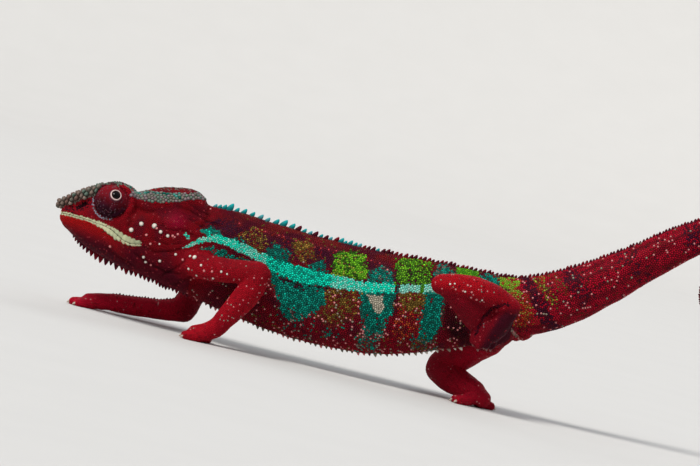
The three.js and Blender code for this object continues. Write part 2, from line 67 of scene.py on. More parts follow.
def to_world(places):
    return (np.asarray(places, float) + ORIGIN) * MM


# ---- camera, floor and light

LENS, SENSOR = 200.0, 36.0
SLOPE = math.radians(14)  # how far the animal walks downhill in the picture
ELEVATION = math.radians(2)
PICTURE_WIDTH = 280.0  # at the animal
AIM = (49.6, 0.0, 57.3)
WALL_START, WALL_RADIUS = 2.2, 1.2  # metres: where the floor starts to curve up, and its curve
FLOOR_RINGS, FLOOR_SIDES = [0.01, 0.6, 1.2, 1.8], 96  # metres, and corners of each ring


def link(name, data):
    made = bpy.data.objects.new(name, data)
    bpy.context.scene.collection.objects.link(made)
    return made


def node(tree, kind, inputs, output, **settings):
    """A new node with its inputs set or linked, as one of its outputs."""
    made = tree.nodes.new("ShaderNode" + kind)
    for name, value in settings.items():
        setattr(made, name, value)
    fill(tree, made, inputs)
    return made.outputs[output]


def fill(tree, made, inputs):
    """Links each input that is given another node's output, and sets the others."""
    for name, value in inputs.items():
        if isinstance(value, bpy.types.NodeSocket):
            tree.links.new(value, made.inputs[name])
        else:
            made.inputs[name].default_value = value


def add_camera():
    data = bpy.data.cameras.new("camera")
    data.lens, data.sensor_width = LENS, SENSOR
    data.clip_start, data.clip_end = 0.01, 50.0
    back = Vector((0, -math.cos(ELEVATION), math.sin(ELEVATION)))
    up = Vector((0, math.sin(ELEVATION), math.cos(ELEVATION)))
    side = Vector((1, 0, 0))
    right = side * math.cos(SLOPE) + up * math.sin(SLOPE)
    above = up * math.cos(SLOPE) - side * math.sin(SLOPE)
    turned = Matrix((right, above, back)).transposed().to_4x4()
    turned.translation = Vector(to_world(AIM)) + back * (PICTURE_WIDTH * MM * LENS / SENSOR)
    camera = link("camera", data)
    camera.matrix_world = turned
    bpy.context.scene.camera = camera


def add_sun(name, towards, strength, angle, colour):
    """A distant light that shines towards a direction, so that the floor is evenly lit."""
    data = bpy.data.lights.new(name, "SUN")
    data.energy, data.angle, data.color = strength, math.radians(angle), colour
    link(name, data).rotation_euler = Vector(towards).to_track_quat("-Z", "Y").to_euler()


def add_floor():
    """A pale floor that curves up into a low wall all round, so that no edge shows."""
    rise = np.linspace(0, math.pi / 2, 25)
    reach = np.concatenate([FLOOR_RINGS, WALL_START + WALL_RADIUS * np.sin(rise)])
    height = np.concatenate([np.zeros(len(FLOOR_RINGS)), WALL_RADIUS * (1 - np.cos(rise))])
    places, faces = tube(turned_rings(reach, height, FLOOR_SIDES))
    floor = add_mesh("floor", places, faces[:-FLOOR_SIDES])
    floor.data.shade_smooth()
    material = bpy.data.materials.new("floor")
    material.use_nodes = True
    tree = material.node_tree
    place = node(tree, "TexCoord", {}, "Object")
    mottle = node(tree, "TexNoise", {"Vector": place, "Scale": 25, "Detail": 6}, "Fac")
    tones = {"A": (0.56, 0.555, 0.54, 1), "B": (0.585, 0.58, 0.565, 1), "Factor": mottle}
    tone = node(tree, "Mix", tones, "Result", data_type="RGBA")
    shader = {"Base Color": tone, "Roughness": 0.9, "Specular IOR Level": 0.1}
    fill(tree, tree.nodes["Principled BSDF"], shader)
    floor.data.materials.append(material)


def add_world():
    """A dim pale room with a brighter ceiling."""
    world = bpy.data.worlds.new("world")
    world.use_nodes = True
    tree = world.node_tree
    way = node(tree, "TexCoord", {}, "Generated")
    height = node(tree, "SeparateXYZ", {"Vector": way}, "Z")
    share = node(tree, "MapRange", {"Value": height}, "Result", interpolation_type="SMOOTHSTEP")
    tones = {"A": (0.30, 0.31, 0.33, 1), "B": (0.62, 0.64, 0.68, 1), "Factor": share}
    fill(tree, tree.nodes["Background"], {"Color": node(tree, "Mix", tones, "Result", data_type="RGBA")})
    bpy.context.scene.world = world


def add_surroundings():
    add_floor()
    add_world()
    bpy.context.scene.view_settings.view_transform = "Standard"
    add_sun("key", (0.5, 0.62, -0.95), 2.9, 18, (1, 0.97, 0.93))
    add_sun("rim", (-0.35, -0.9, -0.7), 0.5, 30, (0.96, 0.98, 1))


# ---- measurements

TRUNK = np.array([  # x, height of the back, height of the belly, half width
    (-12, 54.6, 17.8, 9.4), (-8, 54.6, 17.4, 9.6), (5, 55, 14.8, 11), (20, 54.1, 12.4, 12.2),
    (40, 53.1, 10.6, 12.9), (57, 53.2, 10.9, 12.9), (73, 53.7, 12.9, 12.3), (88, 54.7, 17.4, 11),
    (102, 55.2, 23.3, 9.8), (113, 55.7, 28.6, 9), (121.5, 56.6, 33, 8.5),
])
KEEL_BACK, KEEL_BELLY = 1.3, 1.12  # above 1, a section narrows to a ridge
TAIL_LEAN = 16  # degrees that the section at the vent leans back
TAIL_ROOT = np.array([121.5, 0, 44.8])
TAIL = np.array([  # distance from the vent, heading in degrees above level, half height, half width
    (0, 17, 11.8, 8.5), (10, 25, 11.7, 8.4), (20, 33, 11.1, 8), (34, 38, 9.9, 7.3), (46, 40, 8.7, 6.6),
    (60, 40, 7.8, 6), (76, 35, 6.9, 5.4), (90, 8, 6.1, 4.9), (104, -32, 5.3, 4.3), (118, -76, 4.6, 3.8),
    (132, -124, 3.9, 3.3), (146, -182, 3.3, 2.8), (160, -256, 2.6, 2.3), (174, -350, 2, 1.8),
    (186, -470, 1.5, 1.3), (196, -600, 0.8, 0.7),
])
TAIL_STEP = 0.25
HEAD = np.array([  # x, top, then half width and height of side crest, cheek and jaw, then throat
    (-64.2, 39.9, 3.4, 40.4, 3.8, 38.8, 3.5, 35.8, 34.4),
    (-62.6, 41, 4.3, 41.8, 5.1, 39.5, 5.1, 34.6, 32.4), (-60, 42.6, 5, 43.8, 6.4, 40, 6.5, 33.8, 30.7),
    (-55.6, 45.6, 6.1, 47.2, 8.2, 40.8, 8.3, 32.4, 28.2), (-50, 49.6, 7.3, 51.6, 9.8, 41.4, 9.9, 31, 25.6),
    (-46, 51.2, 7.9, 53.4, 10.7, 41.4, 10.9, 30.2, 24.4),
    (-40.5, 52, 8.2, 53.4, 11.7, 40.8, 12, 29.6, 22.7),
    (-36.6, 52.8, 8.5, 51.4, 12.2, 40.2, 12.4, 29.2, 21.8),
    (-30.4, 56.3, 8.2, 52.2, 12, 40.6, 12.2, 28.8, 21), (-22.8, 58.5, 7, 53.8, 11.2, 41, 11.2, 28, 20),
    (-14.5, 59.2, 4.9, 57, 10.2, 41.6, 10.2, 27.4, 18.2), (-8, 56, 3.2, 54.6, 9.5, 40.6, 9.4, 27, 17.4),
])
LIPS = np.array([  # x, then heights: the upper lip's edge, the line between the lips, the lower lip's edge
    (-65, 37.8, 37.2, 36.7), (-60.8, 38.2, 37.5, 37), (-54.4, 38.1, 37.5, 37), (-51.4, 38.1, 37.3, 36.7),
    (-48.5, 38, 37, 36.1), (-45.4, 37.5, 36.7, 35.2), (-42.8, 37.1, 36.1, 34.3), (-40.3, 36.4, 34.8, 33.3),
    (-37.6, 35.3, 33.3, 32.4), (-34.4, 34.4, 32.5, 31.8), (-31.8, 34.2, 32.9, 32.2),
    (-29.9, 34.1, 33.9, 33.7),
])
TURRET = np.array([-45.5, -8.4, 46.9])  # the left one
TURRET_RADIUS, TURRET_SKIN = 6.7, 6.4  # over its scales, and under them
GAZE = np.array([0.22, -0.86, 0.45]) / np.linalg.norm([0.22, 0.86, 0.45])
EYE_RADIUS, EYE_REACH = 2.5, 4.9  # the eyeball's, and its distance from the turret's centre
RIDGES = [  # points along the left canthal ridge and brow, with their thickness
    ([(-65.8, -1.4, 40.9), (-63.2, -2.8, 42.4), (-57.4, -5.2, 46.7), (-51.2, -6.8, 50.4)],
     [1.4, 1.6, 1.5, 1.4]),
    ([(-52.6, -7, 50.2), (-48.6, -8.2, 52.7), (-43.6, -8.6, 53.5), (-38.2, -8.4, 51.8)],
     [1, 1.4, 1.5, 1.1]),
]
LEGS = {  # side, then points and thickness from the body outwards, then the foot's two bundles of toes
    "front_left": (-1, [
        ([(-9, 7, 30.6), (-1, 13, 30.8), (9, 18.4, 32.2), (18.2, 21.8, 34.2)], [6, 5.4, 5, 4.7]),
        ([(19, 21.8, 33), (16.6, 20.4, 25.8), (12.6, 18.4, 17.8), (9, 16.6, 11.6)], [5, 5.4, 4.9, 4.2]),
        ([(9.6, 16.8, 12.4), (7, 16.4, 8.4), (3, 15.8, 5.6), (-0.6, 15.6, 4.6)], [4.2, 4.2, 3.9, 3.3]),
    ], [((3.6, 17.2, 5), 10, 2, 9), ((4, 14, 4.8), -72, 3, 8.4)]),
    "front_right": (1, [
        ([(-1, 7, 31), (-3.6, 15, 26), (-6.2, 22, 18.6), (-8, 26.2, 11.4)], [5.8, 5.4, 5.4, 5.6]),
        ([(-8.6, 26, 9.6), (-17, 24.4, 7.8), (-28, 21.8, 6.6), (-38.5, 19.4, 5.8)], [5.4, 4.6, 4.3, 3.8]),
        ([(-37.6, 19.6, 5.8), (-42, 18.8, 5.2), (-46.6, 18.4, 4.6)], [3.7, 3.7, 3.3]),
    ], [((-44, 19.8, 4), 58, 2, 8.2), ((-44.6, 17.4, 4), -10, 3, 8.8)]),
    "hind_left": (-1, [
        ([(115, 6, 35.5), (106.9, 15.5, 39.5), (98.9, 22, 43.6), (91.4, 25.2, 46.8)], [8.8, 7.8, 5.9, 4.1]),
        ([(89.4, 26, 47.2), (97, 25.4, 48.5), (108, 23, 48), (118.2, 20.2, 44.8)], [4.3, 5, 5.2, 4.4]),
        ([(117.8, 19.8, 43.6), (115.8, 19, 38.8), (113.6, 18.2, 33.8)], [4.4, 5.1, 4.9]),
    ], [((112.8, 20, 35.4), (109.6, 18.6, 26.4), 3, 0), ((116.6, 15.8, 35.6), (113, 15, 26.8), 2, 0)]),
    "hind_right": (1, [
        ([(114, 5, 30), (109.4, 12, 25.2), (104, 18.5, 19), (98.8, 22.8, 13.6)], [7.6, 7.4, 7.1, 6.4]),
        ([(98.4, 22.6, 12), (102.4, 17.6, 9.9), (108, 11.8, 8.6), (113.2, 6.8, 7.6)], [6.3, 6.3, 5.7, 4.8]),
        ([(113, 7, 7.8), (115.4, 5, 6.2), (117.2, 3, 5.4)], [4.4, 4.3, 3.9]),
    ], [((115.4, 5.8, 5), 128, 3, 9), ((113.8, 2.2, 5), -28, 2, 9)]),
}
TOE_SPREAD, TOE_TURN = 3.1, 24  # between the toes of one bundle: millimetres, and degrees on a flat foot
TOE_RADII = [3, 2.6, 2.2]
BULGE = (123.3, 0, 36.6), (7, 5.6, 5)  # the swelling under the root of a male's tail

# Lines in the side view, as (x, z).
NOSTRIL = [(-58, 41.2), (-57, 42.2), (-55.8, 43.3)]
SNOUT_SHADE = [(-62, 39.6), (-57, 41.4), (-53.5, 44.6)]
VENT = [(119, 37.6), (121.6, 35.2), (125.2, 32.6)]
FOLDS = [  # creases on both sides, and first a low ridge: line, depth, half width; depth also sets the painted shade in a crease and the painted highlight on the ridge
    ([(2, 50.4), (20, 49.6), (45, 48.9), (70, 48.9), (90, 49.2)], -0.25, 0.6),
    ([(-9.5, 57.5), (-7.6, 53), (-7.2, 48), (-9.5, 43.5)], 0.6, 0.8),
    ([(-22, 51.5), (-14, 50.6), (-7, 48.2), (1, 47.6)], 0.5, 0.6),
    ([(-15, 47.6), (-8, 45.6), (-2, 45.4)], 0.5, 0.5),
    ([(-26, 44), (-21, 41.4), (-14, 42.6), (-7, 40.4)], 0.5, 0.6),
    ([(-16, 53.6), (-11, 51.4), (-5, 50.6)], 0.5, 0.5),
    ([(-38.4, 44.6), (-36.2, 41), (-36.8, 38.2)], 0.6, 0.7),
    ([(-37, 47.6), (-31, 46.2), (-27, 47.4)], 0.5, 0.7),
    ([(-30, 33), (-24, 31.5), (-17, 33.5), (-12, 36.5)], 0.55, 0.6),
    ([(-27, 37), (-20, 35.6), (-13, 38)], 0.45, 0.5),
    ([(-33, 30), (-26, 26.5), (-18, 25), (-10, 25.5)], 0.55, 0.7),
    ([(-46, 30), (-38, 26.4), (-30, 24)], 0.4, 0.6), ([(-14, 20), (-9, 24), (-6, 27)], 0.5, 0.7),
    ([(-20, 22), (-13, 28.5), (-11, 33)], 0.5, 0.6),
    ([(118.5, 37.6), (122.6, 34.6), (127, 31.6)], 0.7, 0.7),
]
FOOT_CREASE = [(117, 46), (114, 44.8), (111.2, 42.6), (109, 39), (108, 35), (107.6, 31)]


# ---- arithmetic


def circle(count):
    """Even angles round a circle."""
    return np.arange(count) / count * 2 * math.pi


def reach_along(points):
    """How far along a line each of its points is."""
    return np.concatenate([[0], np.cumsum(np.linalg.norm(np.diff(points, axis=0), axis=1))])


def columns(at, keys, table):
    """Each column of a table read off at places along its keys."""
    return [np.interp(at, keys, column) for column in np.transpose(table)]


def kd_tree(places):
    tree = KDTree(len(places))
    for index, place in enumerate(places.tolist()):
        tree.insert(place, index)
    tree.balance()
    return tree


def smooth(low, high, value):
    t = np.clip((value - low) / (high - low), 0, 1)
    return t * t * (3 - 2 * t)


def unit(vectors):
    return vectors / np.maximum(np.linalg.norm(vectors, axis=-1, keepdims=True), 1e-9)


def curve(table, at):
    """A smooth curve through the rows of a table, whose first column it runs along."""
    table, at = np.asarray(table, float), np.atleast_1d(at)
    keys, values = table[:, 0], table[:, 1:]
    steps, level = np.diff(values, axis=0) / np.diff(keys)[:, None], np.zeros((1, values.shape[1]))
    slopes = (np.vstack([level, steps]) + np.vstack([steps, level])) / 2
    i = np.clip(np.searchsorted(keys, at, side="right") - 1, 0, len(keys) - 2)
    span = (keys[i + 1] - keys[i])[:, None]
    t = np.clip((at - keys[i]) / span[:, 0], 0, 1)[:, None]
    ends = (2 * t**3 - 3 * t**2 + 1) * values[i] + (3 * t**2 - 2 * t**3) * values[i + 1]
    return ends + (t**3 - 2 * t**2 + t) * (slopes[i] * span) + (t**3 - t**2) * (slopes[i + 1] * span)


def lattice(cells, seed):
    """A repeatable random number for each whole-numbered cell."""
    mixed = cells[..., 0] * 73856093 ^ cells[..., 1] * 19349663 ^ cells[..., 2] * 83492791 ^ seed * 2654435
    mixed = (mixed ^ (mixed >> 13)) * 1274126177 & 0x7FFFFFFF
    return ((mixed ^ (mixed >> 16)) & 0xFFFF) / 65535.0


def noise(places, size, seed):
    """Smooth noise from 0 to 1 with features about size across."""
    scaled = places / size + 1000.0
    cell = np.floor(scaled).astype(np.int64)
    t = scaled - cell
    t = t * t * (3 - 2 * t)
    total = 0
    for corner in np.ndindex(2, 2, 2):
        corner = np.array(corner)
        weight = np.prod(np.where(corner == 1, t, 1 - t), axis=-1)
        total = total + weight * lattice(cell + corner, seed)
    return total


def from_line(x, z, line):
    """Distance to a line through points, and how far along it the nearest place is, from 0 to 1."""
    line = np.asarray(line, float)
    reach, best, share = reach_along(line), np.full(x.shape, 1e9), np.zeros(x.shape)
    for start, way, before, after in zip(line, np.diff(line, axis=0), reach, reach[1:]):
        length = np.linalg.norm(way)
        t = np.clip(((x - start[0]) * way[0] + (z - start[1]) * way[1]) / length**2, 0, 1)
        gap = np.hypot(x - start[0] - t * way[0], z - start[1] - t * way[1])
        share = np.where(gap < best, (before + t * (after - before)) / reach[-1], share)
        best = np.minimum(gap, best)
    return best, share


def near_line(x, z, line, width):
    """1 on a line, fading away from it over a width."""
    return np.exp(-((from_line(x, z, line)[0] / width) ** 2))


def folds(x, z):
    """How deep each of the folds is at each place, one after another."""
    for line, depth, width in FOLDS:
        gap, share = from_line(x, z, line)
        yield depth * np.exp(-((gap / width) ** 2)) * (smooth(0, 0.15, share) * smooth(1, 0.85, share))


def within(x, z, outline):
    """Distance inside a closed outline, negative outside it."""
    outline = np.asarray(outline, float)
    inside = np.zeros(x.shape, bool)
    for (x0, z0), (x1, z1) in zip(outline, np.roll(outline, -1, axis=0)):
        crosses = (z0 > z) != (z1 > z)
        with np.errstate(divide="ignore", invalid="ignore"):
            inside ^= crosses & (x < (x1 - x0) * (z - z0) / (z1 - z0) + x0)
    gap, _ = from_line(x, z, np.vstack([outline, outline[:1]]))
    return np.where(inside, gap, -gap)


# ---- flesh

COAT_DEPTH = 0.4  # the scales stand this high above the skin, so the skin lies this far inside the solids
VOXEL = 0.68
ROUND, LIMB_SIDES, FINE_SIDES, BALL_SIDES = 48, 24, 16, 40  # of a section, limb, toe or ridge, and ball
SOFTEN_ROUNDS, SPREAD_ROUNDS, FILLET_ROUNDS = 4, 14, 30


def turned_rings(reach, height, sides):
    """Rings of points about the Z axis."""
    angles = circle(sides)
    x, y = reach[:, None] * np.cos(angles), reach[:, None] * np.sin(angles)
    return np.stack(np.broadcast_arrays(x, y, height[:, None]), axis=-1)


def bands(count, sides):
    """Triangles between rings of points, then the corners of the rings and the next corners round."""
    a = np.arange(count * sides).reshape(count, sides)
    b = np.roll(a, -1, axis=1)
    pairs = [np.stack([a[:-1], b[:-1], b[1:]], -1), np.stack([a[:-1], b[1:], a[1:]], -1)]
    return np.stack(pairs, axis=1).reshape(-1, 3), a, b


def tube(rings):
    """A closed tube through rings of points: its places and faces."""
    faces, a, b = bands(*rings.shape[:2])
    places = np.vstack([rings.reshape(-1, 3), rings[0].mean(axis=0), rings[-1].mean(axis=0)])
    first, last = np.full(len(a[0]), a.size), np.full(len(a[0]), a.size + 1)
    return places, np.vstack([faces, np.stack([b[0], a[0], first], 1), np.stack([a[-1], b[-1], last], 1)])


def along_points(points, radii, spacing=0.7):
    """Places and radii along a smooth curve, with half a ball beyond each end."""
    points = np.asarray(points, float)
    reach = reach_along(points)
    at = np.linspace(0, reach[-1], max(int(reach[-1] / spacing), 4) + 1)
    found = curve(np.column_stack([reach, points, radii]), at)
    places, sizes = found[:, :3], found[:, 3]
    cap = np.sin(np.linspace(0.2, 1, 6) * math.pi / 2)[::-1]
    start = places[0] + unit(places[0] - places[1]) * sizes[0] * cap[:, None]
    end = places[-1] + unit(places[-1] - places[-2]) * sizes[-1] * cap[::-1, None]
    round_off = np.sqrt(np.maximum(1 - cap**2, 0.01))
    sizes = np.concatenate([sizes[0] * round_off, sizes, sizes[-1] * round_off[::-1]])
    return np.vstack([start, places, end]), sizes


def sweep(places, sizes, normal, sides, flat=1.0):
    """A tube along a line, of sections that start facing normal, and flat times as wide across."""
    cosine, sine = np.cos(circle(sides))[:, None], np.sin(circle(sides))[:, None]
    rings = []
    for place, way, size in zip(places, unit(np.gradient(places, axis=0)), sizes):
        normal = unit(normal - way * (normal @ way))
        rings.append(place + size * (cosine * normal + flat * sine * np.cross(way, normal)))
    return tube(np.array(rings))


def limb(points, radii, sides=LIMB_SIDES):
    places, sizes = along_points(points, np.asarray(radii, float) - COAT_DEPTH)
    first = unit(np.gradient(places, axis=0))[0]
    return sweep(places, sizes, unit(np.cross(first, (0.31, 0.2, 0.93))), sides)


def section(middle, lean, tall, half, keels):
    """Rings of points: angle 0 is the back, and 180 degrees the belly."""
    angle = circle(ROUND)
    sine, cosine = np.sin(angle), np.cos(angle)
    power = np.where(cosine > 0, keels[..., :1], keels[..., 1:])
    across = np.sign(sine) * np.abs(sine) ** power * (half - COAT_DEPTH)[:, None]
    up = cosine * (tall - COAT_DEPTH)[:, None]
    x = middle[:, :1] - np.sin(lean)[:, None] * up
    z = middle[:, 2:] + np.cos(lean)[:, None] * up
    return np.stack([x, across, z], axis=-1)


def trunk():
    x = np.arange(TRUNK[0, 0], TRUNK[-1, 0] + 0.1, 1.0)
    back, belly, half = curve(TRUNK, x).T
    middle = np.stack([x, 0 * x, (back + belly) / 2], axis=1)
    lean = math.radians(TAIL_LEAN) * smooth(92, TRUNK[-1, 0], x)
    keels = np.tile([KEEL_BACK, KEEL_BELLY], (len(x), 1))
    return tube(section(middle, lean, (back - belly) / 2, half, keels))


def walk_tail():
    """The tail's axis: distance from the vent, place and heading, in small steps."""
    along = np.arange(0, TAIL[-1, 0] + TAIL_STEP, TAIL_STEP)
    heading = np.radians(curve(TAIL, along)[:, 0])
    ways = np.stack([np.cos(heading), 0 * heading, np.sin(heading)], axis=1)
    places = TAIL_ROOT + np.vstack([[0, 0, 0], np.cumsum(ways[:-1] * TAIL_STEP, axis=0)])
    return along, places, heading


TAIL_ALONG, TAIL_AXIS, TAIL_HEADING = walk_tail()


def tail():
    along, axis, heading = (part[::3] for part in (TAIL_ALONG, TAIL_AXIS, TAIL_HEADING))
    _, tall, half = curve(TAIL, along).T
    ease = smooth(0, 40, along)[:, None]
    keels = np.hstack([KEEL_BACK + (1.05 - KEEL_BACK) * ease, KEEL_BELLY + (1 - KEEL_BELLY) * ease])
    thin = np.minimum(1, 0.5 + along[-1] - along)  # closes the tip in a point
    return tube(section(axis, heading, tall * thin + COAT_DEPTH * (1 - thin), half, keels))


def head():
    stations = np.append(np.arange(HEAD[0, 0], HEAD[-1, 0], 0.6), HEAD[-1, 0])
    rows = curve(HEAD, stations)
    rings = []
    shares = np.abs((np.arange(ROUND * 2) / ROUND + 1) % 2 - 1)  # 0 at the top, 1 at the throat
    sides = np.where(np.arange(ROUND * 2) < ROUND, 1, -1)
    for at, (top, crest_y, crest_z, cheek_y, cheek_z, jaw_y, jaw_z, throat) in zip(stations, rows):
        temple = ((crest_y + cheek_y) / 2 - 0.4, (crest_z + cheek_z) / 2)
        under = (jaw_y * 0.6, throat + (jaw_z - throat) * 0.2)
        stops = [(0, top), (crest_y, crest_z), temple, (cheek_y, cheek_z), (jaw_y, jaw_z), under, (0, throat)]
        table = np.column_stack([np.arange(7), stops])
        y, z = curve(table, (1 - shares) * 6).T
        centre = (top + throat) / 2
        thinner, lower = 1 - COAT_DEPTH / max(jaw_y, 4), 1 - COAT_DEPTH / (top - throat) * 2
        x, y, z = np.full(len(y), at), sides * y * thinner, centre + (z - centre) * lower
        rings.append(np.stack([x, y, z], axis=1))
    return tube(np.array(rings))


def ball(centre, radii):
    up = np.linspace(0, math.pi, BALL_SIDES // 2 + 1)[1:-1]
    rings = turned_rings(np.sin(up), np.cos(up), BALL_SIDES)
    return tube(rings[:, ::-1] * np.asarray(radii) + np.asarray(centre))


def mirrored(shape):
    places, faces = shape
    return places * (1, -1, 1), faces[:, ::-1]


def toe_lines(side, bundle):
    """Start, bend and end of each toe in a bundle, and which way its claw hooks."""
    start, aim, count, length = bundle
    start = np.array(start) * (1, side, 1)
    for i in range(count):
        offset = i - (count - 1) / 2
        share = 1 - abs(offset) * 0.14
        if length == 0:  # closed in the air
            way = np.array(aim) * (1, side, 1) - start
            across = np.array([1, 0, -0.1]) * offset * TOE_SPREAD * 0.86
            root, end = start + across * 0.6, start + way * share + across
            bend = root + (end - root) * 0.55 + (-1.2, 0, 0)
            yield root, bend, end, np.array([0.75, 0, -0.65])
        else:
            yaw = math.radians(aim + offset * TOE_TURN)
            end = start + np.array([-math.cos(yaw), math.sin(yaw) * side, 0]) * length * share
            end[2] = SOLES + 1.25
            bend = start + (end - start) * 0.55
            bend[2] = SOLES + 1.75
            yield start, bend, end, np.array([0, 0, -1.0])


def legs():
    for side, lengths, feet in LEGS.values():
        for points, radii in lengths:
            yield limb(np.array(points) * (1, side, 1), radii)
        for bundle in feet:
            for root, bend, end, _ in toe_lines(side, bundle):
                tip = end - unit(end - bend) * 0.9
                yield limb([root, bend, tip], TOE_RADII, FINE_SIDES)


def add_mesh(name, places, faces):
    """A mesh whose faces all have the same number of sides."""
    mesh = bpy.data.meshes.new(name)
    mesh.vertices.add(len(places))
    mesh.vertices.foreach_set("co", places.ravel())
    mesh.loops.add(faces.size)
    mesh.loops.foreach_set("vertex_index", faces.ravel())
    mesh.polygons.add(len(faces))
    mesh.polygons.foreach_set("loop_start", np.arange(0, faces.size, faces.shape[1]))
    mesh.update(calc_edges=True)
    return link(name, mesh)


def read(items, name, width=1, kind=float):
    """One property of all the elements of a mesh, as rows."""
    values = np.empty(len(items) * width, kind)
    items.foreach_get(name, values)
    return values.reshape(-1, width)


def corners(mesh, sides):
    """The corners of each face, for faces that all have the same number of sides."""
    return read(mesh.loops, "vertex_index", kind=np.int64).reshape(-1, sides)


class Surface:
    """A mesh as arrays: places, four-sided faces and edges."""

    def __init__(self, mesh):
        self.places = read(mesh.vertices, "co", 3)
        self.edges = read(mesh.edges, "vertices", 2, np.int64)
        self.faces = corners(mesh, 4)
        self.degree = np.bincount(self.edges.ravel(), minlength=len(self.places))

    def spread(self, values):
        """The mean of each point's neighbours."""
        a, b = self.edges.T
        flat = values.reshape(len(values), -1)
        total = np.empty_like(flat)
        for k in range(flat.shape[1]):
            column = np.bincount(a, flat[b, k], len(flat)) + np.bincount(b, flat[a, k], len(flat))
            total[:, k] = column / self.degree
        return total.reshape(values.shape)

    def crossed(self):
        """Each face's direction, twice as long as its area."""
        a, b, c, d = (self.places[self.faces[:, k]] for k in range(4))
        return np.cross(c - a, d - b)

    def normals(self):
        crossed, found = self.crossed(), np.zeros_like(self.places)
        for k, axis in np.ndindex(4, 3):
            found[:, axis] += np.bincount(self.faces[:, k], crossed[:, axis], len(found))
        return unit(found)


def orbital_roll():
    """The swollen skin round the back of the turret."""
    angles = np.radians([78, 50, 20, -12, -44, -76])
    reach = TURRET_RADIUS + np.array([0.3, 1.1, 1.5, 1.5, 1.0, 0.2])
    places = TURRET + np.stack([np.cos(angles) * reach, 0 * angles - 1.6, np.sin(angles) * reach], axis=1)
    return places, np.array([1.0, 1.5, 1.8, 1.8, 1.5, 1.0])


def joined(shapes):
    """Several shapes as one: places, faces, and the shape that each face comes from."""
    starts = np.cumsum([0] + [len(places) for places, _ in shapes])
    faces = [faces + start for (_, faces), start in zip(shapes, starts)]
    owner = np.repeat(np.arange(len(shapes)), [len(part) for part in faces])
    return np.vstack([places for places, _ in shapes]), np.vstack(faces), owner


def joined_flesh():
    """All the flesh as one closed surface."""
    shapes = [trunk(), tail(), head(), ball(*BULGE)]
    ridges = [limb(*ridge, FINE_SIDES) for ridge in (*RIDGES, orbital_roll())]
    for shape in (ball(TURRET, [TURRET_SKIN] * 3), *ridges):
        shapes += [shape, mirrored(shape)]
    places, faces, _ = joined([*shapes, *legs()])
    rough = add_mesh("rough", places, faces)
    remesh = rough.modifiers.new("remesh", "REMESH")
    remesh.mode, remesh.voxel_size = "VOXEL", VOXEL
    made = bpy.data.meshes.new_from_object(rough.evaluated_get(bpy.context.evaluated_depsgraph_get()))
    bpy.data.objects.remove(rough)
    return Surface(made)


flesh = [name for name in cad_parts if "claw" not in name and name not in ("eye_left", "eye_right")]


def nearest_nodes(places):
    """The flesh node nearest to each place, as an index into flesh."""
    meshes = [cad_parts[name].data for name in flesh]
    at, faces, owner = joined([(to_body(read(mesh.vertices, "co", 3)), corners(mesh, 3)) for mesh in meshes])
    tree = BVHTree.FromPolygons(at.tolist(), faces.tolist())
    return owner[[tree.find_nearest(place)[2] for place in places.tolist()]]


def soften(skin, amount, rounds, inward=0.5, outward=-0.52):
    """Smoothing that keeps the volume: a step in, and a slightly larger step out."""
    amount = amount[:, None]
    for _ in range(rounds):
        for step in (inward, outward):
            skin.places += amount * step * (skin.spread(skin.places) - skin.places)


TRUNK_PART, HEAD_PART, TURRET_PART = 0, 1, 2  # the broad parts of the skin
FRONT_LEFT, FRONT_RIGHT, HIND_LEFT, HIND_RIGHT = 3, 4, 5, 6


def region(name):
    """Which broad part a node belongs to."""
    for index, leg in enumerate(LEGS):
        if name.startswith(leg):
            return FRONT_LEFT + index
    if "turret" in name:
        return TURRET_PART
    return HEAD_PART if name in ("head", "lower_jaw") else TRUNK_PART


def sculpt(skin):
    """Lips, nostrils, folds and unevenness, as moves along the skin's own direction."""
    places = skin.places
    x, z = places[:, 0], places[:, 2]
    on_head = skin.part == HEAD_PART
    gap = z - np.interp(x, LIPS[:, 0], LIPS[:, 2])
    lips = smooth(-29, -32, x) * on_head
    move = lips * (0.35 * np.exp(-((gap / 1.7) ** 2)) - 0.45 * np.exp(-((gap / 0.45) ** 2)))
    move -= 1.0 * near_line(x, z, NOSTRIL, 0.75) * on_head
    move -= 0.5 * near_line(x, z, [(-61, 40.6), (-54, 43.6)], 1.6) * on_head
    move += 1.1 * np.exp(-(((x + 18.5) / 4) ** 2) - ((z - 45.5) / 3.2) ** 2)
    for fold in folds(x, z):
        move -= fold * (skin.part < TURRET_PART)
    crease, share = from_line(x, z, FOOT_CREASE)
    move -= 1.1 * np.exp(-((crease / 0.85) ** 2)) * smooth(0, 0.2, share) * (skin.part == HIND_LEFT)
    uneven = 0.35 * (noise(places, 6, 21) - 0.5) + 0.2 * (noise(places, 2.4, 22) - 0.5)
    move += uneven * (skin.part != TURRET_PART)
    skin.places = places + skin.normals() * move[:, None]
    skin.places[:, 2] = np.maximum(skin.places[:, 2], SOLES)


def make_skin():
    skin = joined_flesh()
    skin.part = np.array([region(name) for name in flesh])[nearest_nodes(skin.places)]
    soften(skin, np.full(len(skin.places), 0.6), SOFTEN_ROUNDS)
    # Where two parts meet, their crease becomes a soft fillet.
    shares = np.eye(HIND_RIGHT + 1)[skin.part]
    for _ in range(SPREAD_ROUNDS):
        shares = skin.spread(shares)
    fillet = smooth(0.03, 0.3, 1 - shares.max(axis=1)) * (shares[:, TURRET_PART] <= 0.05)
    soften(skin, fillet, FILLET_ROUNDS, inward=0.6, outward=-0.3)
    sculpt(skin)
    return skin


# ---- where things are on the skin

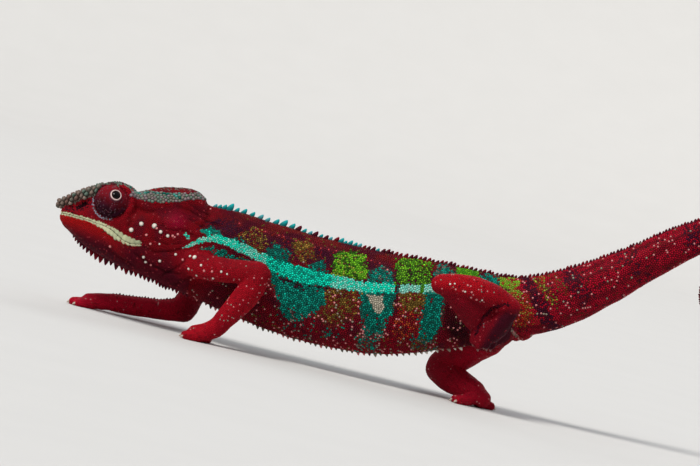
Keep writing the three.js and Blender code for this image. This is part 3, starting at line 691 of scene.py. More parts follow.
BAKE_UV = "OFBake"
WELL_OUT = 60  # further from the mid-plane than any of the animal
PATCH = 0.0015  # half the size of one scale's patch on the unwrap
CREST_BAND = [  # outline of the large scales along the side of the casque
    (-38.6, 51), (-37.4, 53.6), (-33, 54.2), (-28, 54.8), (-23, 55.7), (-19, 56.6), (-14, 58.2),
    (-9.5, 58.8), (-8.6, 56.6), (-12, 55.8), (-16, 54.6), (-20, 53), (-24, 51.6), (-29, 50.4), (-34, 50.2),
]
SPOTS = [  # white tubercles on the side of the head and the upper arm: x, height, radius
    (-35, 37.9, 1), (-31.7, 41.2, 0.95), (-26.5, 41.6, 1.15), (-25.4, 40.9, 0.6), (-23.5, 39.9, 0.8),
    (-20.4, 39, 0.75), (-18.5, 39.5, 0.6), (-16.7, 40.6, 0.55), (-17.6, 39.2, 0.45), (-28.7, 37.4, 0.6),
    (-26.3, 34.3, 0.55), (-22.8, 35.1, 0.45), (-41.6, 29.4, 0.6), (-15.6, 32.6, 0.6), (-27.7, 28.5, 0.65),
    (-26.5, 26.8, 0.65), (-24.2, 26.1, 0.5), (-21.1, 28.5, 0.65), (-12.3, 31.3, 0.6), (-9.1, 28.4, 0.6),
    (-9.8, 33.4, 0.6), (-7.9, 33.5, 0.95), (-4.5, 31.2, 0.6), (-2.8, 29.4, 0.6), (0.4, 30, 0.62),
    (4, 30.9, 0.58), (-5.4, 26.7, 0.55), (1.4, 27.4, 0.55), (-2, 26.5, 0.45), (6.5, 30.6, 0.45),
    (92.6, 48.4, 0.5), (95.2, 46.9, 0.45), (98.2, 47, 0.5), (99, 46.9, 0.5), (101.6, 47.3, 0.5),
    (101.9, 45.2, 0.55), (104.2, 44.9, 0.6), (106.4, 45.2, 0.45), (99.4, 49.6, 0.5), (94.3, 49, 0.4),
]


def folded(places):
    """Places with the animal's two sides laid on top of each other."""
    return np.where([False, True, False], np.abs(places), places)


def from_path(places, path):
    """Distance to a path through points in space, or to the same path on the other side."""
    found, places, path = np.full(len(places), 1e9), folded(places), folded(np.asarray(path, float))
    for start, way in zip(path, np.diff(path, axis=0)):
        t = np.clip((places - start) @ way / (way @ way), 0, 1)
        found = np.minimum(found, np.linalg.norm(places - start - t[:, None] * way, axis=1))
    return found


class Ground:
    """The finished skin, asked about by place, and the material of what stands on it."""

    def __init__(self, skin, unwrapped):
        self.skin = skin
        self.tree = BVHTree.FromPolygons(skin.places.tolist(), skin.faces.tolist())
        self.normals = skin.normals()
        self.uv = read(unwrapped.data.uv_layers[BAKE_UV].data, "uv", 2).reshape(-1, 4, 2).mean(axis=1)
        self.material = make_material("scales", 0.42, 0.05, 6000)

    def nearest(self, places):
        """The nearest places on the skin, the skin's own direction there, and the faces they lie in."""
        found = [self.tree.find_nearest(place) for place in places.tolist()]
        face = np.array([hit[2] for hit in found])
        normals = unit(self.normals[self.skin.faces[face]].mean(axis=1))
        return np.array([hit[0] for hit in found]), normals, face

    def from_side(self, x, z, side):
        """Where a line from one side, level and straight across, first meets the skin."""
        way = Vector((0, -side, 0))
        hits = [self.tree.ray_cast(Vector((a, side * WELL_OUT, b)), way) for a, b in zip(x, z)]
        return np.array([(a, 0, b) if hit[0] is None else hit[0] for hit, a, b in zip(hits, x, z)])


def unwrap(piece):
    bpy.ops.object.select_all(action="DESELECT")
    piece.select_set(True)
    bpy.context.view_layer.objects.active = piece
    bpy.ops.object.mode_set(mode="EDIT")
    bpy.ops.mesh.select_all(action="SELECT")
    bpy.ops.uv.smart_project(angle_limit=math.radians(66), island_margin=0.001)
    bpy.ops.object.mode_set(mode="OBJECT")
    piece.data.uv_layers[0].name = BAKE_UV


def tail_place(places):
    """Distance along the tail from the vent, and height above its axis."""
    tree = kd_tree(TAIL_AXIS)
    index = np.array([tree.find(place)[1] for place in places.tolist()])
    x, _, z = (places - TAIL_AXIS[index]).T
    cosine, sine = np.cos(TAIL_HEADING[index]), np.sin(TAIL_HEADING[index])
    return TAIL_ALONG[index] + (x * cosine + z * sine) * (index == 0), z * cosine - x * sine


# ---- colours and markings

RED, DEEP_RED, MAROON = (0.31, 0.0025, 0.01), (0.175, 0.002, 0.0105), (0.085, 0.004, 0.0135)
PURPLE, SOOT, CHEEK = (0.052, 0.004, 0.02), (0.018, 0.0015, 0.004), (0.21, 0.0015, 0.0065)
JAW, THROAT, SCARLET = (0.44, 0.005, 0.005), (0.085, 0.0018, 0.011), (0.4, 0.003, 0.01)
MAGENTA, CRIMSON, ROSE = (0.3, 0.002, 0.027), (0.34, 0.0025, 0.017), (0.36, 0.035, 0.045)
BRICK, RUST, OLIVE = (0.18, 0.01, 0.008), (0.16, 0.016, 0.009), (0.125, 0.072, 0.014)
ORANGE, GOLD, GREEN = (0.36, 0.055, 0.014), (0.3, 0.17, 0.03), (0.05, 0.22, 0.008)
LIME, YELLOW_GREEN, FOREST = (0.14, 0.42, 0.014), (0.25, 0.29, 0.03), (0.02, 0.065, 0.006)
TEAL, DARK_TEAL, TURQUOISE = (0.003, 0.25, 0.185), (0.003, 0.1, 0.078), (0.003, 0.68, 0.47)
PALE, MINT, CREAM = (0.2, 0.68, 0.54), (0.36, 0.66, 0.55), (0.5, 0.47, 0.3)
LICHEN, WHITE, PINK = (0.37, 0.41, 0.25), (0.66, 0.6, 0.53), (0.6, 0.2, 0.2)
PALE_BLUE, SKY, VERDIGRIS = (0.07, 0.34, 0.38), (0.008, 0.31, 0.32), (0.05, 0.24, 0.2)
GREY, GREY_GREEN, BEIGE = (0.155, 0.14, 0.115), (0.12, 0.17, 0.135), (0.28, 0.22, 0.17)
MAUVE, ASH, BONE = (0.2, 0.15, 0.16), (0.2, 0.145, 0.12), (0.44, 0.4, 0.31)
UMBER, SLATE = (0.16, 0.09, 0.075), (0.27, 0.26, 0.33)
FOOT_SHADE = (0.055, 0.002, 0.01)  # painted shade on the shaded rear side of the closed foot

STRIPE = [  # the pale stripe's outline, along its top and back along its foot
    (-13.5, 35.9), (-8.1, 40.8), (-2.7, 43.9), (3.4, 44.1), (9.8, 43.3), (17.2, 41.8), (20.8, 40.9),
    (29.2, 40.2), (45.7, 39.9), (60.1, 40.2), (71.9, 42.3), (89, 46.4), (89, 43), (72.8, 38.8), (61, 36.2),
    (47, 34.8), (38.9, 33.6), (30.7, 33.6), (24.1, 35.2), (18.4, 37.1), (10.8, 39.4), (4.3, 40.6),
    (-2.1, 41.4), (-7.7, 39.3), (-13.5, 35.3),
]
MARKINGS = [  # on the flank: outline, softness of its edge, how full it is, and its colours
    ([(-9, 46), (-4, 49.6), (4, 50.4), (9, 48), (8, 44), (-2, 43.6)], 1.6, 0.8, (PURPLE, MAROON, PURPLE)),
    ([(6.5, 46.5), (11.5, 51.2), (17.5, 48.5), (20, 43.6), (12.4, 40.6), (7, 43)],
     1.2, 0.85, (OLIVE, RUST, OLIVE, GOLD)),
    ([(28, 49.3), (35.7, 50.6), (39, 44.4), (31.5, 43)], 1.3, 0.82, (OLIVE, RUST, OLIVE, GOLD)),
    ([(47, 39.6), (45.8, 47.9), (50, 50.8), (57, 50.2), (60.8, 42.4), (59, 40)],
     1, 0.95, (GREEN, LIME, YELLOW_GREEN, FOREST, LIME)),
    ([(72.6, 42.4), (70.2, 51.6), (77, 53.9), (84.4, 53.4), (86.6, 45.4)],
     0.8, 0.97, (GREEN, LIME, GREEN, FOREST, LIME)),
    ([(94, 49), (94.3, 54.8), (102.8, 56.4), (104.4, 52.2), (100, 48.4)], 0.6, 1, (GREEN, LIME, GREEN)),
    ([(111.6, 54.9), (119.8, 55.6), (122.4, 49.8), (113.2, 47.6)],
     1.2, 0.92, (YELLOW_GREEN, LIME, YELLOW_GREEN, ORANGE)),
    ([(44, 34.6), (59.4, 36.2), (58.4, 26), (50, 20), (45, 24)],
     2.4, 0.72, (OLIVE, RUST, OLIVE, RUST, GOLD)),
    ([(74.4, 39), (85.4, 42), (85.4, 33.5), (76.6, 31)], 1.8, 0.85, (OLIVE, GOLD, OLIVE)),
    ([(74.4, 32.5), (85.8, 34), (86, 22), (75.5, 19)], 2.4, 0.8, (ORANGE, DEEP_RED, RED, RUST)),
    ([(20.4, 37), (31, 33), (45.5, 34.5), (46.6, 27.4), (41, 20.5), (35.2, 17.6), (29.6, 22), (25.6, 29)],
     1, 0.98, (TEAL, DARK_TEAL, TEAL, DARK_TEAL, TEAL)),
    ([(29, 22), (33, 13), (46, 12), (45, 20), (36, 24)], 2.4, 0.3, (DARK_TEAL, GREY, MAROON)),
    ([(58.6, 37), (73.6, 40), (73.4, 30), (71.2, 22), (66.4, 19.5), (62.6, 25), (60.2, 31)],
     1, 0.97, (TEAL, DARK_TEAL, DARK_TEAL)),
    ([(61.5, 23), (71.6, 23), (71.5, 13.5), (63, 12.5)], 2.2, 0.5, (DARK_TEAL, GREY, TEAL)),
    ([(48, 21), (56.4, 21), (56, 15.5), (48.4, 15.5)], 1.6, 0.42, (DARK_TEAL, GREY, TEAL)),
    ([(84, 43), (92.5, 46), (93.4, 32), (91.6, 22.6), (86.6, 21.4), (85, 31)], 1, 0.98, (TEAL, DARK_TEAL)),
    ([(83.5, 24), (92.6, 25), (95, 19), (84, 17)], 2, 0.5, (DARK_TEAL, OLIVE, GREY)),
    ([(-8.5, 36.8), (-2, 39), (8.6, 38.2), (14.6, 36.4), (12, 34.8), (0, 36.2)],
     0.6, 0.85, (DARK_TEAL, TEAL, DARK_TEAL)),
    ([(-8.4, 44.4), (-5.3, 46.4), (-0.9, 45.5), (1.6, 43.4), (-3, 44), (-5.4, 43.2)],
     0.5, 0.97, (TEAL, TURQUOISE, DARK_TEAL, TEAL)),
    ([(-14.4, 41.2), (-13.4, 42), (-11.8, 40.8), (-11.4, 39.6), (-12.6, 39.4)],
     0.5, 1, (TURQUOISE, TEAL, PALE)),
    ([(2.5, 43), (4.4, 45.2), (9.6, 44.8), (12, 42.4)], 0.8, 0.7, (DARK_TEAL, TEAL, DARK_TEAL)),
    ([(19.4, 39), (19.6, 44.2), (23.6, 47), (28.4, 44.4), (30.4, 39)],
     1, 0.88, (DARK_TEAL, TEAL, DARK_TEAL)),
    ([(36.6, 38), (37.6, 42.6), (41.8, 44.4), (45.6, 40.8), (46, 38)],
     1, 0.9, (TEAL, DARK_TEAL, DARK_TEAL)),
    ([(60.6, 39.6), (60.8, 44.8), (64.6, 47.6), (69.4, 46.4), (72, 41)],
     1, 0.88, (DARK_TEAL, TEAL, DARK_TEAL, TEAL, GREY)),
    ([(86.6, 47.4), (86.4, 53.2), (90.4, 55), (94.8, 52.6), (94.4, 48)], 1, 0.8, (DARK_TEAL, GREY, TEAL)),
    ([(104.4, 51.4), (105.8, 55), (111.8, 54.6), (112.4, 51.6)], 1, 0.9, (TEAL, DARK_TEAL, TEAL)),
    ([(113, 48.6), (122.4, 50.6), (126.6, 46.6), (130.6, 40.6), (122, 38.2), (112, 42)],
     1.6, 0.85, (ORANGE, RUST, ORANGE, GOLD, SCARLET)),
]
GROIN_SHADOW = [  # painted shadow in front of the near thigh
    (93.4, 41), (97.5, 37.5), (103, 32), (110, 25), (101, 25.4), (95.5, 29), (93.4, 34),
]
SHED = [  # a pale flake of loose skin on the near flank
    (61.9, 35.6), (65.4, 36), (68.5, 36.8), (69, 34), (70, 32.5), (68.9, 29.3), (67, 29.6), (64.5, 32.6),
]
STRIPE_COLOURS = [  # along X: where each stretch of the stripe ends, and its colours
    (-3, (PALE, MINT, TURQUOISE)), (9, (TURQUOISE, PALE, TURQUOISE)), (20, (PALE, PALE, TURQUOISE)),
    (47, (TURQUOISE, TURQUOISE, TURQUOISE, TEAL)), (60, (PALE, PALE, TURQUOISE)),
    (72.4, (TURQUOISE, TURQUOISE, TURQUOISE, PALE)), (74, (MAROON, DARK_TEAL, MAROON)),
    (82.2, (PALE, MINT, PALE)), (83.4, (GREEN, GREEN, LIME)), (91, (PALE, MINT, PALE)),
]
STRIPE_MARKS = [  # dark flecks under the stripe
    [(26.4, 32.4), (27.6, 34.6), (30, 33.6), (29.6, 32)],
    [(32.6, 31.8), (34, 33.2), (38, 31.6), (37, 30.2)], [(29.5, 34), (36, 33.6), (36, 32.4), (30, 32.4)],
    [(38.6, 34), (46.4, 35.1), (46.6, 34.1), (39, 33)],
]
TAIL_BANDS = [  # distance from the vent, half its width, lean, how full, lowest height, and its colours
    (8.8, 2.4, 0.33, 0.9, -20, (PURPLE, MAROON, MAROON)),
    (14.4, 1.9, 0.33, 0.75, 1, (OLIVE, YELLOW_GREEN, ORANGE)),
    (20.7, 1.8, 0.33, 0.5, 4, (OLIVE, RUST, RED)), (25.8, 3.4, 0.1, 0.5, -1, (PURPLE, MAROON, MAROON)),
    (51, 4, 0.1, 0.25, -9, (MAROON, MAROON, PURPLE)), (78, 4.4, 0, 0.4, -9, (MAROON, PURPLE)),
]
for middle, half in (96, 4.2), (114, 4), (131, 3.4), (146, 3), (160, 2.8), (173, 2.4):
    TAIL_BANDS.append((middle, half, 0, 0.5, -9, (MAROON, PURPLE)))
OUTSIDE = -9.0  # a distance well outside a marking


def blend(first, second, share):
    share = np.asarray(share, float)[:, None]
    return np.asarray(first) * (1 - share) + np.asarray(second) * share


def choose(colours, pick):
    return np.asarray(colours)[np.minimum((pick * len(colours)).astype(int), len(colours) - 1)]


class Painter:
    """Colours places: every scale takes one colour, by chance where a marking is thin or its edge is soft."""

    def __init__(self, places, part, chance):
        self.places, self.part = places, part
        self.chance, self.pick = chance
        self.x, self.z = places[:, 0], places[:, 2]
        self.wander = np.stack([noise(places, 2.6, 3), noise(places, 2.6, 4)], axis=1) - 0.5

    def lay(self, inside, soft, full, colours, turn=0.0, where=True):
        """Lays colours where inside, a distance in from the marking's edge, is above chance."""
        reach = smooth(-soft, soft, np.where(where, inside, OUTSIDE)) * full
        taken = (self.chance + turn) % 1 < reach
        self.colour[taken] = choose(colours, self.pick)[taken]

    def tint(self, colour, share):
        self.colour = blend(self.colour, colour, share)

    def gap(self, line):
        return from_line(self.x, self.z, line)[0]

    def shade_folds(self):
        """Painted shade down in the folds, and a painted highlight along the low ridge, whose depth is
        negative.
        """
        for fold in folds(self.x, self.z):
            self.colour = self.colour * (1 - 0.6 * fold)[:, None]

    def outline(self, outline, wander):
        return within(self.x + self.wander[:, 0] * wander, self.z + self.wander[:, 1] * wander, outline)

    def paint(self):
        painted = np.empty(self.places.shape)
        for number, paint in enumerate((self.trunk, self.head, self.turret, self.leg)):
            chosen = np.minimum(self.part, FRONT_LEFT) == number
            paint()
            painted[chosen] = self.colour[chosen]
        return painted

    def trunk(self):
        x, z = self.x, self.z
        patches = 0.8 * smooth(0.35, 0.65, noise(self.places, 5, 5))
        upper = blend(blend(MAROON, BRICK, patches), PURPLE, smooth(52, 47, z) * 0.85)
        flank = blend(MAROON, DEEP_RED, smooth(0.3, 0.65, noise(self.places, 4, 6)))
        self.colour = blend(blend(flank, RED, smooth(24, 14, z) * 0.3), upper, smooth(40, 44, z))
        self.tint(MAROON, smooth(18, -4, x) * 0.7)
        self.tint(CHEEK, smooth(4, -6, x) * 0.8)
        self.lay(smooth(-2, 12, x) - 0.5, 0.5, 0.13, (RUST, DEEP_RED, OLIVE))
        self.shoulders()
        self.tail()
        # Painted highlight: lighter scales along the low ridge on the upper flank.
        self.lay(0.5 - self.gap(FOLDS[0][0]), 0.4, 0.45, (ROSE, BRICK, BRICK), where=z > 44)
        self.markings(x < 135)
        # Painted shadow: the flank in front of the near thigh is darkened.
        groin_shadow = smooth(-1.5, 2, within(x, z, GROIN_SHADOW)) * (self.places[:, 1] < 0)
        self.tint(SOOT, 0.7 * groin_shadow)
        self.tint(RED, 0.5 * smooth(37, 34, z) * smooth(110, 115, x) * smooth(131, 127, x))
        self.shade_folds()
        self.lay(0.6 - self.gap(VENT), 0.2, 0.9, (BEIGE, PINK, BEIGE))

    def shoulders(self):
        """The red of the upper arms carries on over the skin round them."""
        for leg in ("front_left", "front_right"):
            side, lengths, _ = LEGS[leg]
            gap = self.gap([(x, z) for x, _, z in lengths[0][0][:2]])
            self.tint(RED, 0.6 * (smooth(9, 5, gap) * (self.places[:, 1] * side > 0)))

    def markings(self, where):
        """The flank's markings and the stripe, on the chosen places."""
        for k, (outline, soft, full, colours) in enumerate(MARKINGS):
            self.lay(self.outline(outline, 2.2), soft, full, colours, turn=k * 0.37, where=where)
        x, z = self.x, self.z
        stripe, start = self.outline(STRIPE, 0.8), -20
        for end, colours in STRIPE_COLOURS:
            self.lay(stripe, 0.35, 1.0, colours, where=(x >= start) & (x < end) & where)
            start = end
        for outline in STRIPE_MARKS:
            self.lay(within(x, z, outline), 0.5, 0.85, (SOOT, PURPLE, DARK_TEAL), where=where)
        self.lay(within(x, z, SHED), 0.1, 1.0, (BONE, BONE), where=where & (self.places[:, 1] < 0))

    def tail(self):
        far = self.x > 112
        along, up = np.full(len(self.x), -9.0), np.zeros(len(self.x))
        along[far], up[far] = tail_place(self.places[far])
        streaks = noise(np.stack([along / 9, up / 0.9, self.places[:, 1] / 0.9], axis=1), 1, 14)
        red = blend(DEEP_RED, CRIMSON, smooth(0.2, 0.6, streaks)) * 1.1
        keep = self.chance < 1 - smooth(-4, 3, along + self.wander[:, 0] * 4)
        self.colour = np.where(keep[:, None], self.colour, red)
        self.lay(1.0, 0.5, 0.10, (MAROON, DEEP_RED, RUST), turn=0.5, where=along > -2)
        for k, (middle, half, lean, full, low, colours) in enumerate(TAIL_BANDS):
            reach = half - np.abs(along - middle + up * lean + self.wander[:, 1] * 2)
            self.lay(reach - np.maximum(low - up, 0) * 0.6, 1.3, full, colours, turn=0.11 + k * 0.29)

    def head(self):
        x, z = self.x, self.z
        upper, mouth, lower = columns(x, LIPS[:, 0], LIPS[:, 1:])
        below = smooth(0.5, -0.5, z - mouth) * smooth(-26, -34, x)
        self.colour = blend(CHEEK, MAROON, 0.55 * smooth(0.45, 0.75, noise(self.places, 4, 9)))
        self.tint(RED, 0.5 * smooth(-44, -54, x))
        self.tint(blend(JAW, THROAT, np.maximum(smooth(0, 9, mouth - z), smooth(-50, -30, x))), below)
        self.tint(THROAT, smooth(36, 25, z) * (1 - below) * 0.85)
        # Painted highlight in magenta on the swelling of the temple.
        self.tint(MAGENTA, 0.9 * np.exp(-(((x + 18.5) / 4) ** 2) - ((z - 45.5) / 3.4) ** 2))
        self.shoulders()
        top = z - np.interp(x, [-38, -28, -16, -8], [53.5, 54.4, 57.2, 57.5])
        top = smooth(0.5, 2.0, top) * smooth(-40, -36, x)
        self.lay(top - 0.5, 0.4, 0.85, (DEEP_RED, GREY, DEEP_RED, RUST))
        self.lay(0.9 - np.abs(self.places[:, 1]), 0.4, 0.8, (GREY, GREY, ASH, MAROON), where=top > 0.3)
        self.lay(1.0, 0.5, 0.05, (ROSE, ROSE, RED))
        # Painted shade in the nostril's opening.
        self.lay(1.0 - self.gap(NOSTRIL), 0.6, 1.0, (SOOT, SOOT))
        self.lay(1.3 - self.gap(SNOUT_SHADE), 1.0, 0.5, (MAROON, MAROON, SOOT))
        self.colour[(x < -29.9) & (z < upper + 0.1) & (z > lower - 0.1)] = CREAM
        self.lay(0.35 - np.abs(z - mouth), 0.1, 1.0, (SOOT, SOOT), where=x < -31)
        self.lay(0.9 - np.abs(lower - 0.5 - z), 0.4, 0.5, (RUST, RED), where=(x > -46) & (x < -30))
        self.shade_folds()
        self.round_turret()
        self.markings(x > -17)
        self.ridges()

    def round_turret(self):
        """Painted shade in the crease round the turret, the bright roll behind it and the pale rim below it.
        """
        offset = folded(self.places) - TURRET * (1, -1, 1)
        gap = np.linalg.norm(offset, axis=1) - TURRET_RADIUS
        turn = np.degrees(np.arctan2(offset[:, 2], offset[:, 0]))
        self.tint(RED, smooth(2.9, 2.0, gap) * smooth(-95, -70, turn) * smooth(95, 75, turn) * 0.9)
        # Painted shade in the crease where the turret meets the head.
        self.tint(SOOT, smooth(0.75, 0.3, gap) * 0.85)
        rim = np.minimum(0.34 - np.abs(gap - 0.95), (58 - np.abs(turn + 125)) / 30)
        self.lay(rim, 0.15, 0.85, (SLATE, SLATE, MAUVE))

    def ridges(self):
        x, z = self.x, self.z
        crest = within(x, z, CREST_BAND)
        canthus, brow = (reach - from_path(self.places, RIDGES[k][0]) for k, reach in ((0, 2.15), (1, 1.9)))
        self.lay(brow, 0.4, 1.0, (GREY, MAROON, GREY_GREEN))
        self.lay(np.minimum(brow, (x + 41.5) / 2), 0.6, 0.8, (DARK_TEAL, GREY_GREEN, VERDIGRIS))
        self.lay(canthus, 0.3, 1.0, (GREY, GREY, ASH, GREY_GREEN))
        self.lay(np.minimum(canthus, (-54 - x) / 4), 0.6, 0.8, (ASH, ASH, UMBER))
        self.lay(crest, 0.3, 1.0, (GREY, MAUVE, GREY_GREEN, MAUVE))
        upper = (z - np.interp(x, [-38, -30, -22, -14], [51.8, 52.6, 53.6, 56.2])) * 1.5
        self.lay(np.minimum(crest, upper), 0.5, 0.7, (DARK_TEAL, GREY_GREEN, GREY_GREEN, VERDIGRIS, GREY))

    def turret(self):
        up = (self.z - TURRET[2]) / TURRET_RADIUS
        low = blend(SOOT, (0.05, 0.006, 0.02), smooth(0.2, 0.8, noise(self.places, 1.2, 11)))
        self.colour = blend(low, (0.26, 0.008, 0.018), smooth(-0.6, 0.7, up + self.wander[:, 0] * 0.4))
        self.lay(1.0, 0.5, 0.10, ((0.16, 0.09, 0.12), (0.22, 0.07, 0.09)))

    def leg(self):
        x, z, part = self.x, self.z, self.part
        self.colour = blend(RED, DEEP_RED, 0.4 * smooth(0.4, 0.8, noise(self.places, 5, 12)))
        self.colour *= np.where(part == FRONT_LEFT, np.interp(z, [16, 28, 35], [1.2, 1.1, 0.85]), 1)[:, None]
        far = (part == FRONT_RIGHT) | (part == HIND_RIGHT)
        self.tint(CRIMSON, 0.8 * far)
        self.colour *= np.where(part == FRONT_RIGHT, np.interp(x, [-14, -10], [1.35, 1]), 1)[:, None]
        self.tint(DEEP_RED, 0.7 * (part == FRONT_RIGHT) * smooth(-11, -7, x))
        hind = smooth(80, 90, x)
        # Painted light on the near hind leg's upper band, as lit from above, and painted shade on the part
        # below it.
        self.tint(SCARLET, hind * smooth(44, 48, z) * smooth(112, 104, x))
        self.tint(DEEP_RED, hind * smooth(47, 42, z) * 0.8 * ~far)
        # Painted shade on the rear side of the closed foot.
        sole_shade = smooth(-1.5, 1.5, x - np.interp(z, [26, 34, 40, 44], [110.5, 112.5, 114.5, 117]))
        self.tint(FOOT_SHADE, hind * sole_shade * smooth(46, 41, z) * smooth(24, 27, z) * ~far)
        self.lay(1.0, 0.5, 0.06, (ROSE, CHEEK, DEEP_RED))
        near_foot = part == HIND_LEFT
        # Painted shade in the crease between the thigh and the closed foot.
        self.lay(0.7 - self.gap(FOOT_CREASE), 0.5, 0.8, (MAROON, SOOT, MAROON), where=near_foot)
        # Painted highlight along the closed foot's front edge.
        rim = self.gap(np.array(FOOT_CREASE[2:]) + (1.7, -0.4))
        self.lay(0.45 - rim, 0.4, 0.45, (ROSE, ROSE, MAUVE), where=near_foot)


# ---- materials


def make_material(name, roughness, grain, grain_size, mottle=0.25, specular=0.05):
    """A skin-like material: the painted colour, mottled, with fine relief and uneven gloss."""
    material = bpy.data.materials.new(name)
    material.use_nodes = True
    tree = material.node_tree
    place = node(tree, "TexCoord", {}, "Object")
    paint = node(tree, "Attribute", {}, "Color", attribute_name="paint")
    coarse = node(tree, "TexNoise", {"Vector": place, "Scale": 900, "Detail": 3}, "Fac")
    fine = node(tree, "TexNoise", {"Vector": place, "Scale": grain_size, "Detail": 4}, "Fac")

    def about(middle, half):
        ends = {"Value": coarse, "To Min": middle - half, "To Max": middle + half}
        return node(tree, "MapRange", ends, "Result")

    relief = {"Height": fine, "Strength": 0.6, "Distance": grain * MM}
    mottled = {0: paint, "Scale": about(1, mottle)}
    shader = {
        "Base Color": node(tree, "VectorMath", mottled, "Vector", operation="SCALE"),
        "Roughness": about(roughness, 0.1),
        "Specular IOR Level": specular,
        "Normal": node(tree, "Bump", relief, "Normal"),
    }
    fill(tree, tree.nodes["Principled BSDF"], shader)
    return material


def finish_piece(piece, colours, uv, material):
    """Gives a piece its painted colours, its unwrap, its material and its body."""
    mesh = piece.data
    paint = mesh.color_attributes.new("paint", "FLOAT_COLOR", "POINT")
    paint.data.foreach_set("color", np.hstack([colours, np.ones((len(colours), 1))]).ravel())
    if uv is not None:
        layer = mesh.uv_layers.new(name=BAKE_UV)
        layer.data.foreach_set("uv", uv[corners(mesh, 3)].ravel())
    mesh.shade_smooth()
    mesh.materials.append(material)
    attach(piece, "root")


# ---- the coat of scales

AROUND, LARGE_AROUND, LIP_AROUND = 7, 12, 20  # corners of a small scale, a large one and a lip's
HEAD_SPACING, LEG_SPACING, TRUNK_SPACING, TURRET_SPACING = 0.70, 0.74, 0.92, 0.5
BROW_SPACING, CASQUE_SPACING, PEBBLE = 1.05, 1.38, 2.2
PACKING = 0.87  # how much closer rows of scales stand than the scales in a row
TURRET_RINGS = 21.5, 125  # degrees from the gaze at which the turret's rings of scales start and end
LARGE, RAISED = 1.16, 1.6  # scales above these sizes have more corners, and stand up higher
WHITE_SPOT = 1.25  # spots above this size are all white
NEIGHBOURS = 9
SETTLE_ROUNDS = 16


def spacing_at(places, part):
    """How far apart the scales stand."""
    x, z = places[:, 0], places[:, 2]
    along = np.zeros(len(places))
    far = x > TAIL_ROOT[0]
    along[far] = tail_place(places[far])[0]
    trunk_size = TRUNK_SPACING * (1 - 0.42 * smooth(60, 196, along)) * (1 - 0.15 * smooth(20, -10, x))
    head_size = HEAD_SPACING * (1 - 0.15 * smooth(36, 28, z))
    head_size = np.where(from_path(places, RIDGES[1][0]) < 1.8, BROW_SPACING, head_size)
    head_size = np.where(within(x, z, CREST_BAND) > 0, CASQUE_SPACING, head_size)
    head_size = np.where(from_path(places, RIDGES[0][0]) < 1.9, PEBBLE, head_size)
    return np.where(part == TRUNK_PART, trunk_size, np.where(part < FRONT_LEFT, head_size, LEG_SPACING))


def scatter(skin, density):
    """Random places on the skin, as many for each face as its area asks for."""
    total = np.cumsum(np.linalg.norm(skin.crossed(), axis=1) / 2 * density)
    marks = np.arange(int(total[-1])) + rng.random(int(total[-1]))
    face = np.minimum(np.searchsorted(total, marks), len(total) - 1)
    s, t = rng.random((2, len(face), 1))
    a, b, c, d = (skin.places[skin.faces[face, k]] for k in range(4))
    return (a * (1 - s) + b * s) * (1 - t) + (d * (1 - s) + c * s) * t


def neighbours(places):
    """The nearest other places to each place, as indices."""
    tree = kd_tree(places)
    return np.array([[hit[1] for hit in tree.find_n(place, NEIGHBOURS + 1)][1:] for place in places.tolist()])


def settle(ground, places, sizes, held):
    """Pushes places apart over the skin until each has the room it asks for. The held first ones stay."""
    for k in range(SETTLE_ROUNDS):
        if k % 3 == 0:
            near = neighbours(places)
        away = places[:, None] - places[near]
        gap = np.linalg.norm(away, axis=2, keepdims=True)
        room = (sizes[:, None, None] + sizes[near][..., None]) / 2 * 1.06
        push = (away / np.maximum(gap, 1e-3) * np.maximum(room - gap, 0)).sum(axis=1) * 0.3
        push[:held] = 0
        places, normals, face = ground.nearest(places + push)
    return places, normals, face


def domes(places, normals, radii, heights, profile, lean):
    """Low domes: radii[i, k] is how far dome i reaches in its k-th direction; profile is its outline, as
    shares of that reach and of its height."""
    count, around = radii.shape
    first, second = frames(normals)
    angles = circle(around)
    ways = np.cos(angles)[None, :, None] * first[:, None] + np.sin(angles)[None, :, None] * second[:, None]
    rings = []
    for share, height in profile:
        rise = normals * heights[:, None] * height + lean * max(height, 0)
        rings.append(places[:, None] + ways * (radii * share)[..., None] + rise[:, None])
    top = places + normals * heights[:, None] + lean
    points = np.concatenate([np.stack(rings, 1).reshape(count, -1, 3), top[:, None]], axis=1)
    faces, a, b = bands(len(profile), around)
    faces = np.vstack([faces, np.stack([a[-1], b[-1], np.full(around, a.size)], 1)])
    return points, (faces[None] + np.arange(count)[:, None, None] * (a.size + 1)).reshape(-1, 3)


def frames(normals):
    """Two directions along the skin for each normal."""
    up = np.where(np.abs(normals[:, 1:2]) > 0.9, (1.0, 0, 0), (0, 1.0, 0))
    first = unit(np.cross(normals, up))
    return first, np.cross(normals, first)


def rooms(seats, sizes, chosen, near, around):
    """How far each chosen scale may reach in each direction before it meets its neighbours."""
    places, normals, _ = seats
    first, second = frames(normals[chosen])
    near, own = near[chosen], sizes[chosen, None]
    apart = places[near] - places[chosen][:, None]
    flat = np.stack([(apart * first[:, None]).sum(-1), (apart * second[:, None]).sum(-1)], axis=-1)
    distance = np.linalg.norm(apart, axis=2)
    share = own / (own + sizes[near])
    ways = np.stack([np.cos(circle(around)), np.sin(circle(around))], axis=1)
    facing = np.einsum("nkc,mc->nkm", flat / np.maximum(distance, 1e-6)[..., None], ways)
    reach = np.where(facing > 0.15, (distance * share)[..., None] / np.maximum(facing, 0.15), 9.0)
    reach = np.minimum(reach.min(axis=1), own * 0.72)
    return np.minimum(reach, reach.mean(axis=1, keepdims=True) * 1.15) * 0.97


